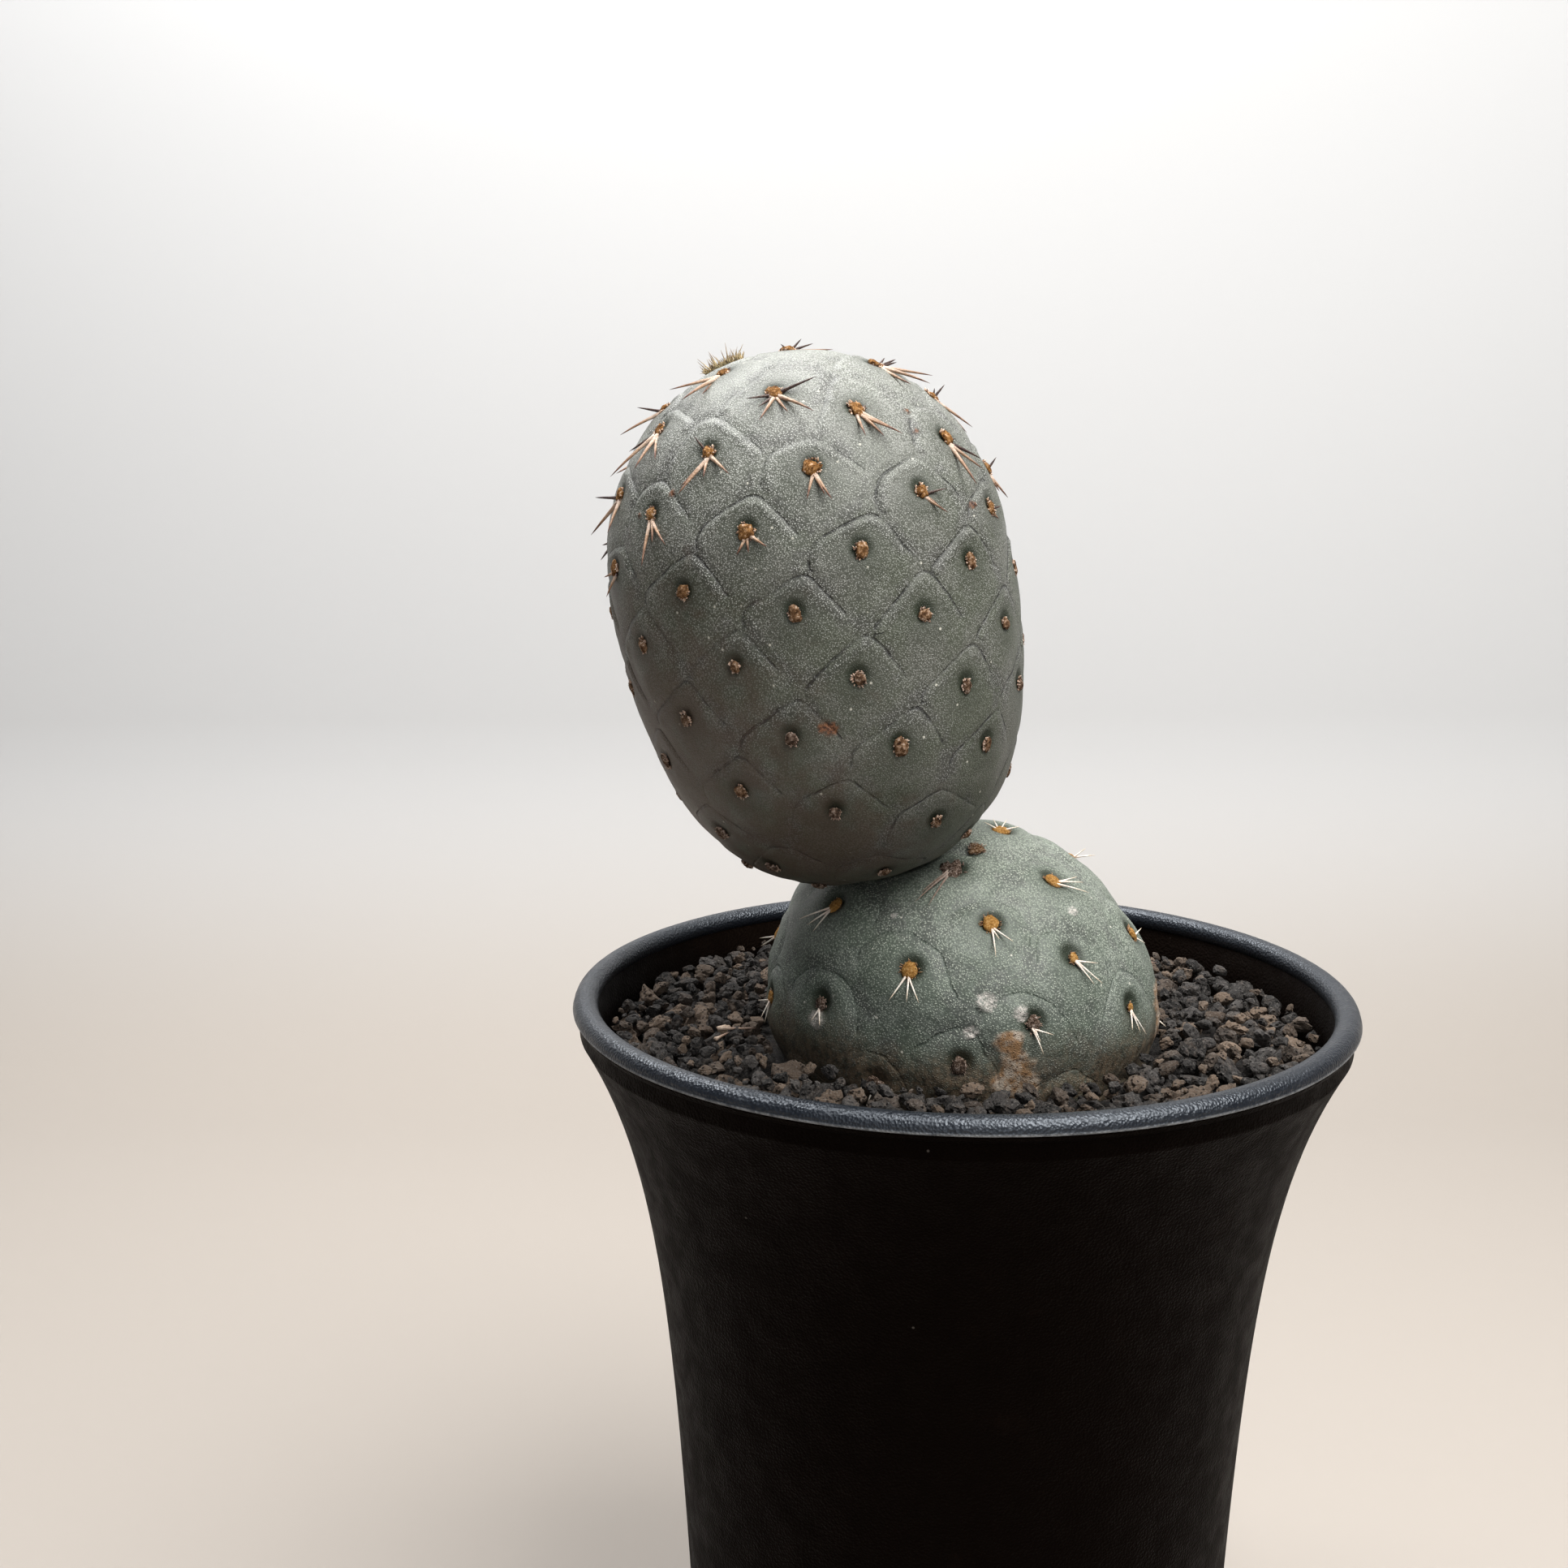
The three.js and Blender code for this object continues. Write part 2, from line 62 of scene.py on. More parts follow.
# Pot. Outside, its radius at a depth below the rim is a tapering cylinder plus a flare that dies away.
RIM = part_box("pot")[1][2] / MM
RIM_RADIUS = 45
NECK_RADIUS = 35.4
TAPER = 0.04
FLARE = 11.55
FLARE_DEPTH = 17.5
WALL = 1.35
FLOOR_TOP = 4
FOOT_RECESS = 2
FOOT_WIDTH = 3.4
FOOT_BEVEL = 0.8
DRAIN_RADIUS = 6
LIP_HALF_WIDTH = 1.45
LIP_HALF_HEIGHT = 1.35
LIP_SEAM = 0.13
WALL_START = 4.2
INNER_START = 6.5

# Stem segments: two superellipses, (height, power), turned about the axis and joined at the widest part
UPPER = {
    "radius": 21.7,
    "top": (24.1, 2.09),
    "base": (33.3, 2.52),
    "centre": (-17.4, -8, RIM + 47.4),
    "lean": -11.8,
}
LOWER = {
    "radius": 22.85,
    "top": (18.4, 1.78),
    "base": (19.5, 2.95),
    "centre": (0.9, 0, RIM + 0.8),
    "lean": 16.6,
}
SEAT_GAP = 0.42
GRIT_GAP = 0.42

# Areoles follow one spiral on each segment. Seen ones that lie off it have a bearing and a height.
UPPER_SPIRAL = {"count": 93, "turn": 137.65, "start": 176, "skew": 1.4}
LOWER_SPIRAL = {"count": 61, "turn": 137.5, "start": 240, "skew": 0}
UPPER_SEEN = {
    9: (-46, -28.3), 17: (-8, -22.5), 20: (47, -19.6), 25: (15, -17), 28: (69, -15), 51: (-6, -1.8),
    54: (47, -0.9), 59: (14, 2.7), 62: (65, 3.6), 67: (36, 6.9), 70: (84, 7.5), 74: (-71, 12.8),
    75: (57, 11.4), 83: (83, 16), 85: (1, 19.4), 87: (-82, 20.7), 88: (68, 20.3), 90: (-36, 22.7),
    91: (60, 23.9), 92: (-100, 23.7),
}
LOWER_SEEN = [
    (-61, 5.8), (-32, 13.8), (-36, 18.1), (23, 15.4), (-8, 10.3), (-26, 3.4), (23, 9.1),
    (101, 16.7), (69, 11.2), (-49, -4.2), (11, 2), (47, 4.9), (-5, -4.5), (-94, -2.2),
]
LOWER_SEEN_SPACING = 8
EVENING_ROUNDS = 6
AREOLE_RISE = 1.6

# Relief of the skin in mm: each tubercle's upper edge is a roof line, with a crease on it and a welt below
UPPER_RELIEF = {
    "steps": 128, "rounding": 0.42, "wobble": 0.2, "crease": 0.1, "crease_width": 0.45, "welt": 0.2,
    "welt_inset": 0.72, "welt_width": 0.42, "dome": 0.16, "pit": 0.4, "pit_width": 1.0,
}
LOWER_RELIEF = {
    "steps": 112, "rounding": 1.5, "wobble": 0.5, "crease": 0.13, "crease_width": 0.9, "welt": 0.09,
    "welt_inset": 1.9, "welt_width": 1, "dome": 0.36, "pit": 0.8, "pit_width": 1.3,
}

# Marks on the skin: (bearing, height, radius)
UPPER_MARKS = {
    "scar": [(-3, -13.6, 0.7), (-5.5, -13.4, 0.5)],
    "dot": [(-38, 12, 0.45), (54, 4.5, 0.45), (45, 12.9, 0.4), (48, 15, 0.4), (-52, 10.6, 0.3)],
    "flush": [(-62, -14, 22), (-75, -26, 15), (-20, -27, 13)],
}
LOWER_MARKS = {
    "pale": [
        (-3, 3.2, 1), (-5, -0.5, 0.7), (-49, -5.8, 1.1), (27, 13.2, 0.6), (-39, 7.9, 0.3), (7, 3, 0.9),
    ],
    "cork": [
        (6, -0.4, 1.6), (9.5, -2.4, 2.2), (12, -4.6, 2.4), (7, -4.9, 1.3), (74, 4.6, 2.4), (78, 1, 2.6),
    ],
}

# Spines seen on the upper segment, by areole: each tip's place against the areole in mm to the right and
# up as the camera sees it, and whether the spine is dark
SEEN_SPINES = {
    62: [(1.3, 0.4, 1), (0.8, -0.8, 0)],
    64: [(-0.9, -2, 0), (0.1, -1.8, 0), (1.8, -1.5, 0)],
    67: [(2.4, 0.7, 1), (2.5, -1.8, 0), (1.4, -1, 0)],
    69: [(-1, -5, 0), (0.3, -2.6, 0), (1.4, -3.1, 0)],
    70: [(1.1, 1.4, 1), (2.1, -2.9, 0), (1.2, -2.2, 0)],
    72: [(-0.8, -2.9, 0), (1.6, -3.1, 0), (1.2, -2.5, 0)],
    74: [(-3.1, 0.4, 1), (-3.2, -3.2, 0), (-1.2, -4, 0)],
    75: [(3, -4.8, 0), (3.6, -3, 0), (3.7, -1.3, 1), (1, 0.2, 1)],
    77: [(-1.6, 1.8, 1), (-2.7, -3.3, 0), (-3.1, -3.9, 0), (-0.4, -2.4, 0), (2, -2.4, 0)],
    80: [(0.7, -2.9, 0), (2.5, -2.7, 0), (4.1, -2.7, 0), (3.4, -2.2, 0), (0.7, 0.5, 1)],
    82: [(-5.1, -4.3, 0), (-2.6, -4.2, 0), (-0.4, -3.3, 0), (-3, -1.8, 1), (1, 0, 1)],
    83: [(1.3, 1.4, 1), (0.2, 1.1, 1), (4.1, -2.9, 0), (3.6, -3.3, 0)],
    85: [(-2.6, -0.9, 1), (-1.3, -3.1, 0), (1.3, -2.3, 0), (3.9, -2.2, 0), (4.1, 1.3, 1), (-1.6, -1.6, 1)],
    87: [(-2.8, 0.3, 1), (-4.7, -2.3, 0), (-2.2, -2.7, 0)],
    88: [
        (-1.6, -0.1, 1), (0.6, -1.5, 0), (2.8, -2.8, 0), (5, -2.2, 0), (5.4, -1.2, 0), (4.1, -0.3, 0),
        (2, 1.3, 1), (1.9, 0.9, 1), (0.9, 1.2, 1),
    ],
    90: [(-5, -2, 0), (-4.2, -3.2, 0), (-1.7, -2.4, 0), (-0.2, -1.7, 0), (0.9, 0.8, 1)],
    91: [
        (-3.8, -0.6, 1), (-3.2, -1.5, 0), (1.3, 1.2, 1), (2.4, 0.8, 1), (4.4, 0.2, 0), (3.7, -1.2, 0),
        (-0.9, 0.7, 1),
    ],
}
LOWER_SEEN_SPINES = {
    0: [(-2.8, -1.8), (-3.6, -1.3), (-2.1, -2.5)],
    1: [(-4.6, -2.7), (-3.6, -2.1), (-3, -3.2), (-1.5, -2)],
    2: [(-1.8, 0.8), (2.2, 0.4), (0.8, 1.2), (-0.6, 1.1)],
    3: [(3.3, -0.2), (3.7, -1), (2.6, 0.3)],
    4: [(0.1, -2.9), (2, -1.7), (0.8, -1.3)],
    5: [(-1.9, -2.8), (-0.4, -2.8), (1, -2.8)],
    6: [(2.6, -0.5), (1.8, -2.4), (2.5, -2.5)],
    7: [(2.7, 0.2), (1.6, 1)],
    8: [(1.1, 0.7), (1.2, -0.9)],
    9: [(-0.9, -1.6), (0.1, -1.9)],
    10: [(2.1, -0.7), (1.1, -2.6), (0.5, -1.5)],
    11: [(0.8, -2.3), (1.7, -2.6), (-0.2, -2)],
    12: [],
    13: [(-1.6, -1.3), (-1.9, -0.4)],
}
SEEN_LIFT = 14
UPPER_CLEARANCE = 1.6
LOWER_CLEARANCE = 1.2
BURIED = 7
FIRST_SPINED = 60
CREST = 92
LOWER_TUFT_SIZES = {1: 1.25, 2: 1.15, 3: 1.05, 4: 1.1, 5: 1.1, 6: 0.7, 9: 0.75, 10: 0.8, 11: 0.55, 12: 0.8}
LOWER_AGED = (1, 9, 10, 12)
LOWER_DRY = 1
LOWER_SCAB = (-30, 16)
UPPER_RAGGED = 0.42
LOWER_RAGGED = 0.13

# Grit: a bed with large, middling and small grains dropped on it
BED_DEPTH = 8.4
GRAINS = {
    "grains_large": {"count": 130, "radius": (1.55, 2.6), "detail": 4, "seed": 1},
    "grains_middling": {"count": 500, "radius": (0.85, 1.6), "detail": 3, "seed": 2},
    "grains_small": {"count": 650, "radius": (0.4, 0.85), "detail": 2, "seed": 3},
}
GRAIN_FLATNESS = 0.72
GRAIN_TRIES = 12

# Kinds of grain, and debris on the grit: a pale chip, and fallen spines by their ends
ROCK_KINDS = 16
PALE_CHIP = (-27.5, -3.1)
FALLEN_SPINES = [((-28.2, -4.7), (-23.8, -3.6)), ((-28.4, -7), (-26.8, -5.4)), ((24, 21), (27.5, 19.5))]

# Colours, in linear light. Skins and plastics as their looks name them, wool from its gaps to its tips when
# fresh and when aged, and spines at the base, middle and tip, then the colour of dark ones
SKIN_LOOKS = {
    "young_skin": {
        "green": (0.082, 0.09, 0.066), "dull": (0.115, 0.117, 0.1), "frost": (0.56, 0.57, 0.53),
        "frosting": (0.25, 1), "tip_frost_and_light": 0.6, "crease_shade_color": (0.012, 0.012, 0.014),
        "line_strength": 0.75, "grain_size": 0.17,
    },
    "old_skin": {
        "green": (0.1, 0.122, 0.096), "dull": (0.15, 0.17, 0.145), "frost": (0.5, 0.54, 0.45),
        "frosting": (0.3, 0.75), "tip_frost_and_light": 0.25, "crease_shade_color": (0.035, 0.05, 0.038),
        "line_strength": 0.55, "grain_size": 0.22,
    },
}
# The body's faint brown colour and brown specular colour are a painted reflection of a wooden table; the
# plastic itself is neutral black
BODY_PLASTIC = {
    "color": (0.0012, 0.0007, 0.0005), "dust_color": (0.05, 0.028, 0.018),
    "roughness": 0.55, "specular": 0.03, "tint": (0.9, 0.55, 0.38),
}
# The rim is a copy of the body's black plastic, made shinier: its navy colour and bluish specular colour
# are a painted reflection of bluish light from above
RIM_PLASTIC = {
    "color": (0.0035, 0.005, 0.0085), "dust_color": (0.1, 0.1, 0.1),
    "roughness": 0.38, "specular": 0.65, "tint": (0.84, 0.91, 1),
}
SCAB = ((0.012, 0.008, 0.006), (0.055, 0.034, 0.023), (0.16, 0.115, 0.09), (0.46, 0.4, 0.36))
WOOL_LOOKS = {
    "young_wool": {
        "size": 0.4,
        "fresh": ((0.03, 0.012, 0.005), (0.14, 0.062, 0.019), (0.29, 0.145, 0.048), (0.58, 0.42, 0.31)),
    },
    "old_wool": {
        "size": 0.25,
        "fresh": ((0.14, 0.06, 0.014), (0.27, 0.13, 0.03), (0.36, 0.19, 0.052), (0.47, 0.3, 0.12)),
    },
}
SPINE_LOOKS = {
    "glochid": ((0.34, 0.17, 0.08), (0.6, 0.4, 0.27), (0.75, 0.62, 0.52), (0.07, 0.03, 0.018)),
    "young_spine": ((0.58, 0.45, 0.36), (0.36, 0.22, 0.135), (0.09, 0.03, 0.018), (0.03, 0.014, 0.014)),
    "crest_glochid": ((0.72, 0.6, 0.34), (0.74, 0.6, 0.36), (0.1, 0.06, 0.035), (0.3, 0.2, 0.12)),
    "old_glochid": ((0.1, 0.04, 0.015), (0.28, 0.14, 0.06), (0.45, 0.3, 0.17), (0.06, 0.03, 0.015)),
    "old_spine": ((0.75, 0.6, 0.5), (0.8, 0.74, 0.66), (0.6, 0.48, 0.35), (0.16, 0.1, 0.07)),
}
DRY_DEBRIS = ((0.62, 0.48, 0.36), (0.36, 0.22, 0.14), (0.16, 0.09, 0.06), (0.05, 0.03, 0.02))
FLOOR_COLOR = (0.34, 0.305, 0.272)
WALL_COLOR = (0.515, 0.517, 0.52)
WORLD_COLOR = (0.95, 0.97, 1, 1)

# Light
LIGHT_AIM = (-8, 0, 120)
LIGHTS = {
    "window": {"place": (190, -170, 560), "size": 380, "power": 5.6, "color": (1, 0.99, 0.97)},
    "back_light": {"place": (-150, 150, 560), "size": 300, "power": 3.4, "color": (1, 1, 1)},
    "fill": {"place": (30, -560, 330), "size": 500, "power": 0.9, "color": (0.96, 0.98, 1)},
}
WORLD_STRENGTH = 0.14


# Small sums on rows of points

def unit(rows):
    return rows / np.linalg.norm(rows, axis=-1, keepdims=True)


def dots(first, second):
    return (first * second).sum(axis=-1)


def smooth_step(low, high, values):
    part = np.clip((values - low) / (high - low), 0, 1)
    return part * part * (3 - 2 * part)


def hump(values, width):
    return np.exp(-((values / width) ** 2))


def smooth_noise(points, size, seed=0):
    """Noise from -1 to 1 that changes over about the given size, the same on every run."""
    grid = points / size
    cell = np.floor(grid).astype(np.int64)
    part = smooth_step(0, 1, grid - cell)
    total = np.zeros(len(points))
    for corner in np.ndindex(2, 2, 2):
        spot = cell + corner
        mixed = spot[:, 0] * 73856093 ^ spot[:, 1] * 19349663 ^ spot[:, 2] * 83492791 ^ seed * 26544357
        mixed = (mixed & 0xFFFFFFFF) * 1274126177 & 0xFFFFFFFF
        mixed = (mixed ^ mixed >> 15) * 2246822519 & 0xFFFFFFFF
        weight = np.prod(np.where(corner, part, 1 - part), axis=1)
        total += weight * ((mixed >> 16) / 32767.5 - 1)
    return total


def rough_noise(points, size, seed=0, octaves=3):
    """Several sizes of noise, each half as large and half as strong as the last."""
    return sum(smooth_noise(points, size / 2**n, seed + n) / 2**n for n in range(octaves))


# Meshes

def make_object(name, points, faces, material, fields, smooth=True):
    """A mesh from points in mm and rows of corner numbers, with named numbers kept for its material."""
    mesh = bpy.data.meshes.new(name)
    faces = np.asarray(faces, np.int32)
    mesh.vertices.add(len(points))
    mesh.vertices.foreach_set("co", (np.asarray(points) * MM).astype(np.float32).ravel())
    mesh.loops.add(faces.size)
    mesh.loops.foreach_set("vertex_index", faces.ravel())
    mesh.polygons.add(len(faces))
    mesh.polygons.foreach_set("loop_start", np.arange(0, faces.size, faces.shape[1], dtype=np.int32))
    mesh.update(calc_edges=True)
    for field, values in fields.items():
        attribute = mesh.attributes.new(field, "FLOAT", "POINT")
        attribute.data.foreach_set("value", np.asarray(values, np.float32))
    mesh.polygons.foreach_set("use_smooth", np.full(len(faces), smooth))
    mesh.materials.append(material)
    made = bpy.data.objects.new(name, mesh)
    bpy.context.scene.collection.objects.link(made)
    return made


def make_piece(name, points, faces, material, node, fields, smooth=True):
    piece = make_object(name, points, faces, material, fields, smooth)
    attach(piece, "root")
    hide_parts(node)


class Heap:
    """Many small closed meshes gathered into one."""

    def __init__(self):
        self.points, self.faces, self.fields, self.count = [], [], {}, 0

    def add(self, points, faces, **fields):
        self.points.append(points)
        self.faces.append(np.asarray(faces) + self.count)
        self.count += len(points)
        for field, values in fields.items():
            self.fields.setdefault(field, []).append(np.broadcast_to(values, len(points)))

    def make(self, name, material, slot, node, smooth=True):
        fields = {field: np.concatenate(values) for field, values in self.fields.items()}
        points, faces = np.concatenate(self.points), np.concatenate(self.faces)
        make_piece(name, points, faces, material, node, fields, smooth)


def sphere_grid(steps):
    """A cube's faces, each cut into a grid, blown up to a sphere: directions and quads."""
    first, second = np.meshgrid(np.arange(steps + 1), np.arange(steps + 1), indexing="ij")
    sheets = []
    for axis in range(3):
        for side in (0, steps):
            sheet = np.empty((steps + 1, steps + 1, 3), int)
            sheet[..., axis] = side
            sheet[..., (axis + 1) % 3] = first if side else second
            sheet[..., (axis + 2) % 3] = second if side else first
            sheets.append(sheet)
    spots = np.stack(sheets)
    keys, numbers = np.unique(spots.reshape(-1, 3), axis=0, return_inverse=True)
    numbers = numbers.reshape(spots.shape[:3])
    corners = [numbers[:, :-1, :-1], numbers[:, 1:, :-1], numbers[:, 1:, 1:], numbers[:, :-1, 1:]]
    directions = unit(np.tan((keys / steps - 0.5) * math.pi / 2))
    return directions, np.stack(corners, axis=-1).reshape(-1, 4)


def ball(detail):
    """An icosphere's directions and triangles."""
    form = bmesh.new()
    bmesh.ops.create_icosphere(form, subdivisions=detail, radius=1)
    points = np.array([vert.co[:] for vert in form.verts])
    faces = np.array([[vert.index for vert in face.verts] for face in form.faces])
    form.free()
    return unit(points), faces


def rings_to_faces(rows, sides, closed_loop=False):
    """Triangles between rings of the same number of points; the ends are closed by fans if not a loop."""
    faces = []
    for row in range(rows if closed_loop else rows - 1):
        here, there = row * sides, (row + 1) % rows * sides
        for side in range(sides):
            following = (side + 1) % sides
            faces.append((here + side, here + following, there + following))
            faces.append((here + side, there + following, there + side))
    if not closed_loop:
        last = (rows - 1) * sides
        faces += [(0, side + 1, side) for side in range(1, sides - 1)]
        faces += [(last, last + side, last + side + 1) for side in range(1, sides - 1)]
    return np.array(faces)


def circle(sides):
    """Points round a circle of radius 1, each its cosine and sine."""
    angles = np.arange(sides) * 2 * math.pi / sides
    return np.stack([np.cos(angles), np.sin(angles)], axis=-1)


def turned_rings(profile, sides):
    """Rings about Z for [radius, height] points."""
    radius, height = np.array(profile, float).T[:, :, None]
    flat = radius[..., None] * circle(sides)
    heights = np.broadcast_to(height[..., None], flat.shape[:2] + (1,))
    return np.concatenate([flat, heights], -1).reshape(-1, 3)


# Segments

def reach_and_power(shape, heights):
    below = heights < 0
    reach = np.where(below, shape["base"][0], shape["top"][0])
    return reach, np.where(below, shape["base"][1], shape["top"][1])


def on_skin(shape, points, offset=0.0):
    """Points of the smooth skin on lines from the middle through the given ones, raised by an offset."""
    reach, power = reach_and_power(shape, points[:, 2])
    across = np.hypot(points[:, 0], points[:, 1]) / shape["radius"]
    along = np.abs(points[:, 2]) / reach
    skin = points * ((across**power + along**power) ** (-1 / power))[:, None]
    length = np.linalg.norm(skin, axis=1)
    return skin * ((length + offset) / length)[:, None]


def skin_radius(shape, heights):
    reach, power = reach_and_power(shape, heights)
    return shape["radius"] * np.maximum(0, 1 - (np.abs(heights) / reach) ** power) ** (1 / power)


def at_bearing(shape, bearings, heights):
    bearings, heights = np.radians(np.atleast_1d(bearings)), np.atleast_1d(np.asarray(heights, float))
    radius = skin_radius(shape, heights)
    return np.stack([radius * np.sin(bearings), -radius * np.cos(bearings), heights], axis=1)


def turn_of(shape):
    lean = math.radians(shape["lean"])
    return np.array([
        [math.cos(lean), 0, math.sin(lean)],
        [0, 1, 0],
        [-math.sin(lean), 0, math.cos(lean)],
    ])


def placed(shape, points):
    return points @ turn_of(shape).T + shape["centre"]


def unplaced(shape, points):
    return (points - shape["centre"]) @ turn_of(shape)


def clearance(shape, points):
    """How far outside a segment's smooth skin placed points are, on lines to its middle."""
    local = unplaced(shape, points)
    return np.linalg.norm(local, axis=1) - np.linalg.norm(on_skin(shape, local), axis=1)


def skin_axes(shape, points):
    """Unit vectors out of the skin, towards the tip along it, and sideways."""
    reach, power = reach_and_power(shape, points[:, 2])
    spread = np.maximum(np.hypot(points[:, 0], points[:, 1]), 1e-6)
    across = (spread / shape["radius"]) ** (power - 1) / shape["radius"] / spread
    along = np.sign(points[:, 2]) * (np.abs(points[:, 2]) / reach) ** (power - 1) / reach
    out = unit(np.stack([points[:, 0] * across, points[:, 1] * across, along], axis=1))
    tip = unit(np.array([0, 0, 1]) - out * out[:, 2:])
    return out, tip, np.cross(tip, out)


def areole_axes(shape, areole):
    return (axis[0] for axis in skin_axes(shape, areole[None]))


def placed_axes(shape, areole):
    """An areole's axes in the object's frame."""
    return (axis @ turn_of(shape).T for axis in areole_axes(shape, areole))


def spiral_places(shape, count, turn, start, skew):
    """Places along a spiral from the base, each with the same share of the skin."""
    swing = np.sin(math.pi * (np.arange(601) / 600 - 0.5))
    heights = swing * reach_and_power(shape, swing)[0]
    radius = skin_radius(shape, heights)
    slant = np.hypot(np.diff(radius), np.diff(heights))
    areas = np.concatenate([[0], np.cumsum((radius[1:] + radius[:-1]) * slant)])
    bearings = start + turn * np.arange(count)
    share = (np.arange(count) + 0.5 - skew * np.sin(np.radians(bearings))) / count
    share = np.clip(share, 0.3 / count, 1 - 0.3 / count)
    return at_bearing(shape, bearings, np.interp(share * areas[-1], areas, heights))


def upper_places():
    places = spiral_places(UPPER, **UPPER_SPIRAL)
    for number, (bearing, height) in UPPER_SEEN.items():
        places[number] = at_bearing(UPPER, bearing, height)[0]
    return places


def hull_triangles(points):
    hull = bmesh.new()
    for number, point in enumerate(points):
        hull.verts.new(point).index = number
    bmesh.ops.convex_hull(hull, input=hull.verts[:])
    triangles = np.array([[vert.index for vert in face.verts] for face in hull.faces])
    hull.free()
    return triangles


def equal_distance_points(first, second, third):
    """Points at the same distance from each triangle's three corners."""
    to_second, to_third = second - first, third - first
    normal = np.cross(to_second, to_third)
    from_third = np.cross(to_third, normal) * -dots(to_second, to_second)[:, None]
    from_second = np.cross(normal, to_second) * -dots(to_third, to_third)[:, None]
    return first - (from_third + from_second) / (2 * dots(normal, normal))[:, None]


def lower_places():
    """Seen areoles, then spiral ones clear of them, evened out by moving each to its cell's middle."""
    seen = at_bearing(LOWER, *np.array(LOWER_SEEN).T)
    hidden = spiral_places(LOWER, **LOWER_SPIRAL)
    apart = np.linalg.norm(hidden[:, None] - seen[None], axis=2).min(axis=1)
    places = np.concatenate([seen, hidden[apart > LOWER_SEEN_SPACING]])
    for _ in range(EVENING_ROUNDS):
        triangles = hull_triangles(places)
        corners = on_skin(LOWER, equal_distance_points(*places[triangles].transpose(1, 0, 2)))
        middles = np.zeros_like(places)
        for column in triangles.T:
            np.add.at(middles, column, corners)
        places[len(seen):] = on_skin(LOWER, middles[len(seen):])
    return places


def tubercle_fields(shape, points, areoles, look):
    """How near a roof line each point is, how far below it in mm, and the swell of its tubercle."""
    TOUCHING = 7
    REACH = 1.1
    _, tips, _ = skin_axes(shape, areoles)
    middles = on_skin(shape, areoles - tips * AREOLE_RISE)
    _, tips, _ = skin_axes(shape, middles)
    apart = np.linalg.norm(middles[:, None] - middles[None], axis=2)
    around = np.argsort(apart, axis=1)[:, 1:TOUCHING + 1]
    reach = dots(points, points)[:, None] + dots(middles, middles)[None] - 2 * points @ middles.T
    nearest = np.argpartition(reach, 4, axis=1)[:, :4]
    rows = np.arange(len(points))
    wobble = look["wobble"] * (smooth_noise(points, 3.4, 5) + 0.4 * smooth_noise(points, 1.2, 6))
    near, below, swell = (np.zeros(len(points)) for _ in range(3))
    for own in nearest.T:
        others = around[own]
        gap = (reach[rows[:, None], others] - reach[rows, own][:, None]) / (2 * apart[own[:, None], others])
        inside = -look["rounding"] * np.log(np.exp(-gap / look["rounding"]).sum(axis=1)) + wobble
        arm = points - middles[own]
        rise = dots(arm, tips[own]) / np.maximum(np.linalg.norm(arm, axis=1), 1e-6)
        closeness = hump(inside, REACH) * smooth_step(-0.12, 0.3, rise)
        below = np.where(closeness > near, inside, below)
        near = np.maximum(near, closeness)
        swell = np.maximum(swell, smooth_step(-0.3, 3.2, inside))
    return near, below, swell


def mark_field(shape, points, marks, softness=0.25):
    """How much each point lies in any of the marks, whose edges are ragged."""
    RAGGED = 0.35
    field = np.zeros(len(points))
    ragged = RAGGED * rough_noise(points, 1.6, 21)
    for bearing, height, radius in marks:
        away = np.linalg.norm(points - at_bearing(shape, bearing, height), axis=1) / radius
        field = np.maximum(field, 1 - smooth_step(1.05 - softness, 1.05, away + ragged))
    return field


def segment_skin(shape, areoles, look):
    """Directions of a segment's skin pushed out to its relief: points in its own frame, faces, fields."""
    directions, faces = sphere_grid(look["steps"])
    stretch, _ = reach_and_power(shape, directions[:, 2])
    flat = np.full_like(stretch, shape["radius"])
    points = on_skin(shape, directions * np.stack([flat, flat, stretch], axis=1))
    near, below, swell = tubercle_fields(shape, points, areoles, look)
    share = points[:, 2] / reach_and_power(shape, points[:, 2])[0]
    _, tips, _ = skin_axes(shape, areoles)
    away = np.linalg.norm(points[:, None] - areoles[None], axis=2).min(axis=1)
    above = np.linalg.norm(points[:, None] - (areoles + 0.45 * tips)[None], axis=2).min(axis=1)
    strength = 0.3 + 0.7 * smooth_step(-0.8, 0.1, share)
    welt = hump(below - look["welt_inset"], look["welt_width"]) * near * strength
    offset = look["welt"] * welt - look["crease"] * hump(below, look["crease_width"]) * near * strength
    offset += look["dome"] * (swell - 1) - look["pit"] * hump(above, look["pit_width"])
    offset += 0.03 * smooth_noise(points, 1.1, 11) + 0.14 * smooth_noise(points, 6, 12)
    fields = {
        "roof_near": near, "roof_side": near * below, "welt": welt, "swell": swell, "share": share,
        "areole": away, "hollow": above / look["pit_width"],
    }
    return points, faces, offset, fields


def raised_skin(shape, points, offset):
    return placed(shape, points * (1 + offset / np.linalg.norm(points, axis=1))[:, None])


# Spines, tufts and grains

def spine_mesh(root, direction, length, radius, bend, rows=7, sides=6):
    """A spine that tapers and bends a little: points, faces and how far along each point is."""
    along = np.linspace(0, 1, rows)
    helper = np.array([0, 0, 1]) if abs(direction[2]) < 0.9 else np.array([1, 0, 0])
    right = unit(np.cross(direction, helper))
    ahead = np.cross(right, direction)
    middle = root + direction * (along * length)[:, None] + bend * ((along**2) * length)[:, None]
    cosine, sine = circle(sides).T[:, :, None]
    ring = cosine * right + sine * ahead
    width = radius * (1 - along) ** 0.6 * (1 + 0.35 * hump(along, 0.15)) + 0.012
    points = middle[:, None] + width[:, None, None] * ring[None]
    return points.reshape(-1, 3), rings_to_faces(rows, sides), np.repeat(along, sides)


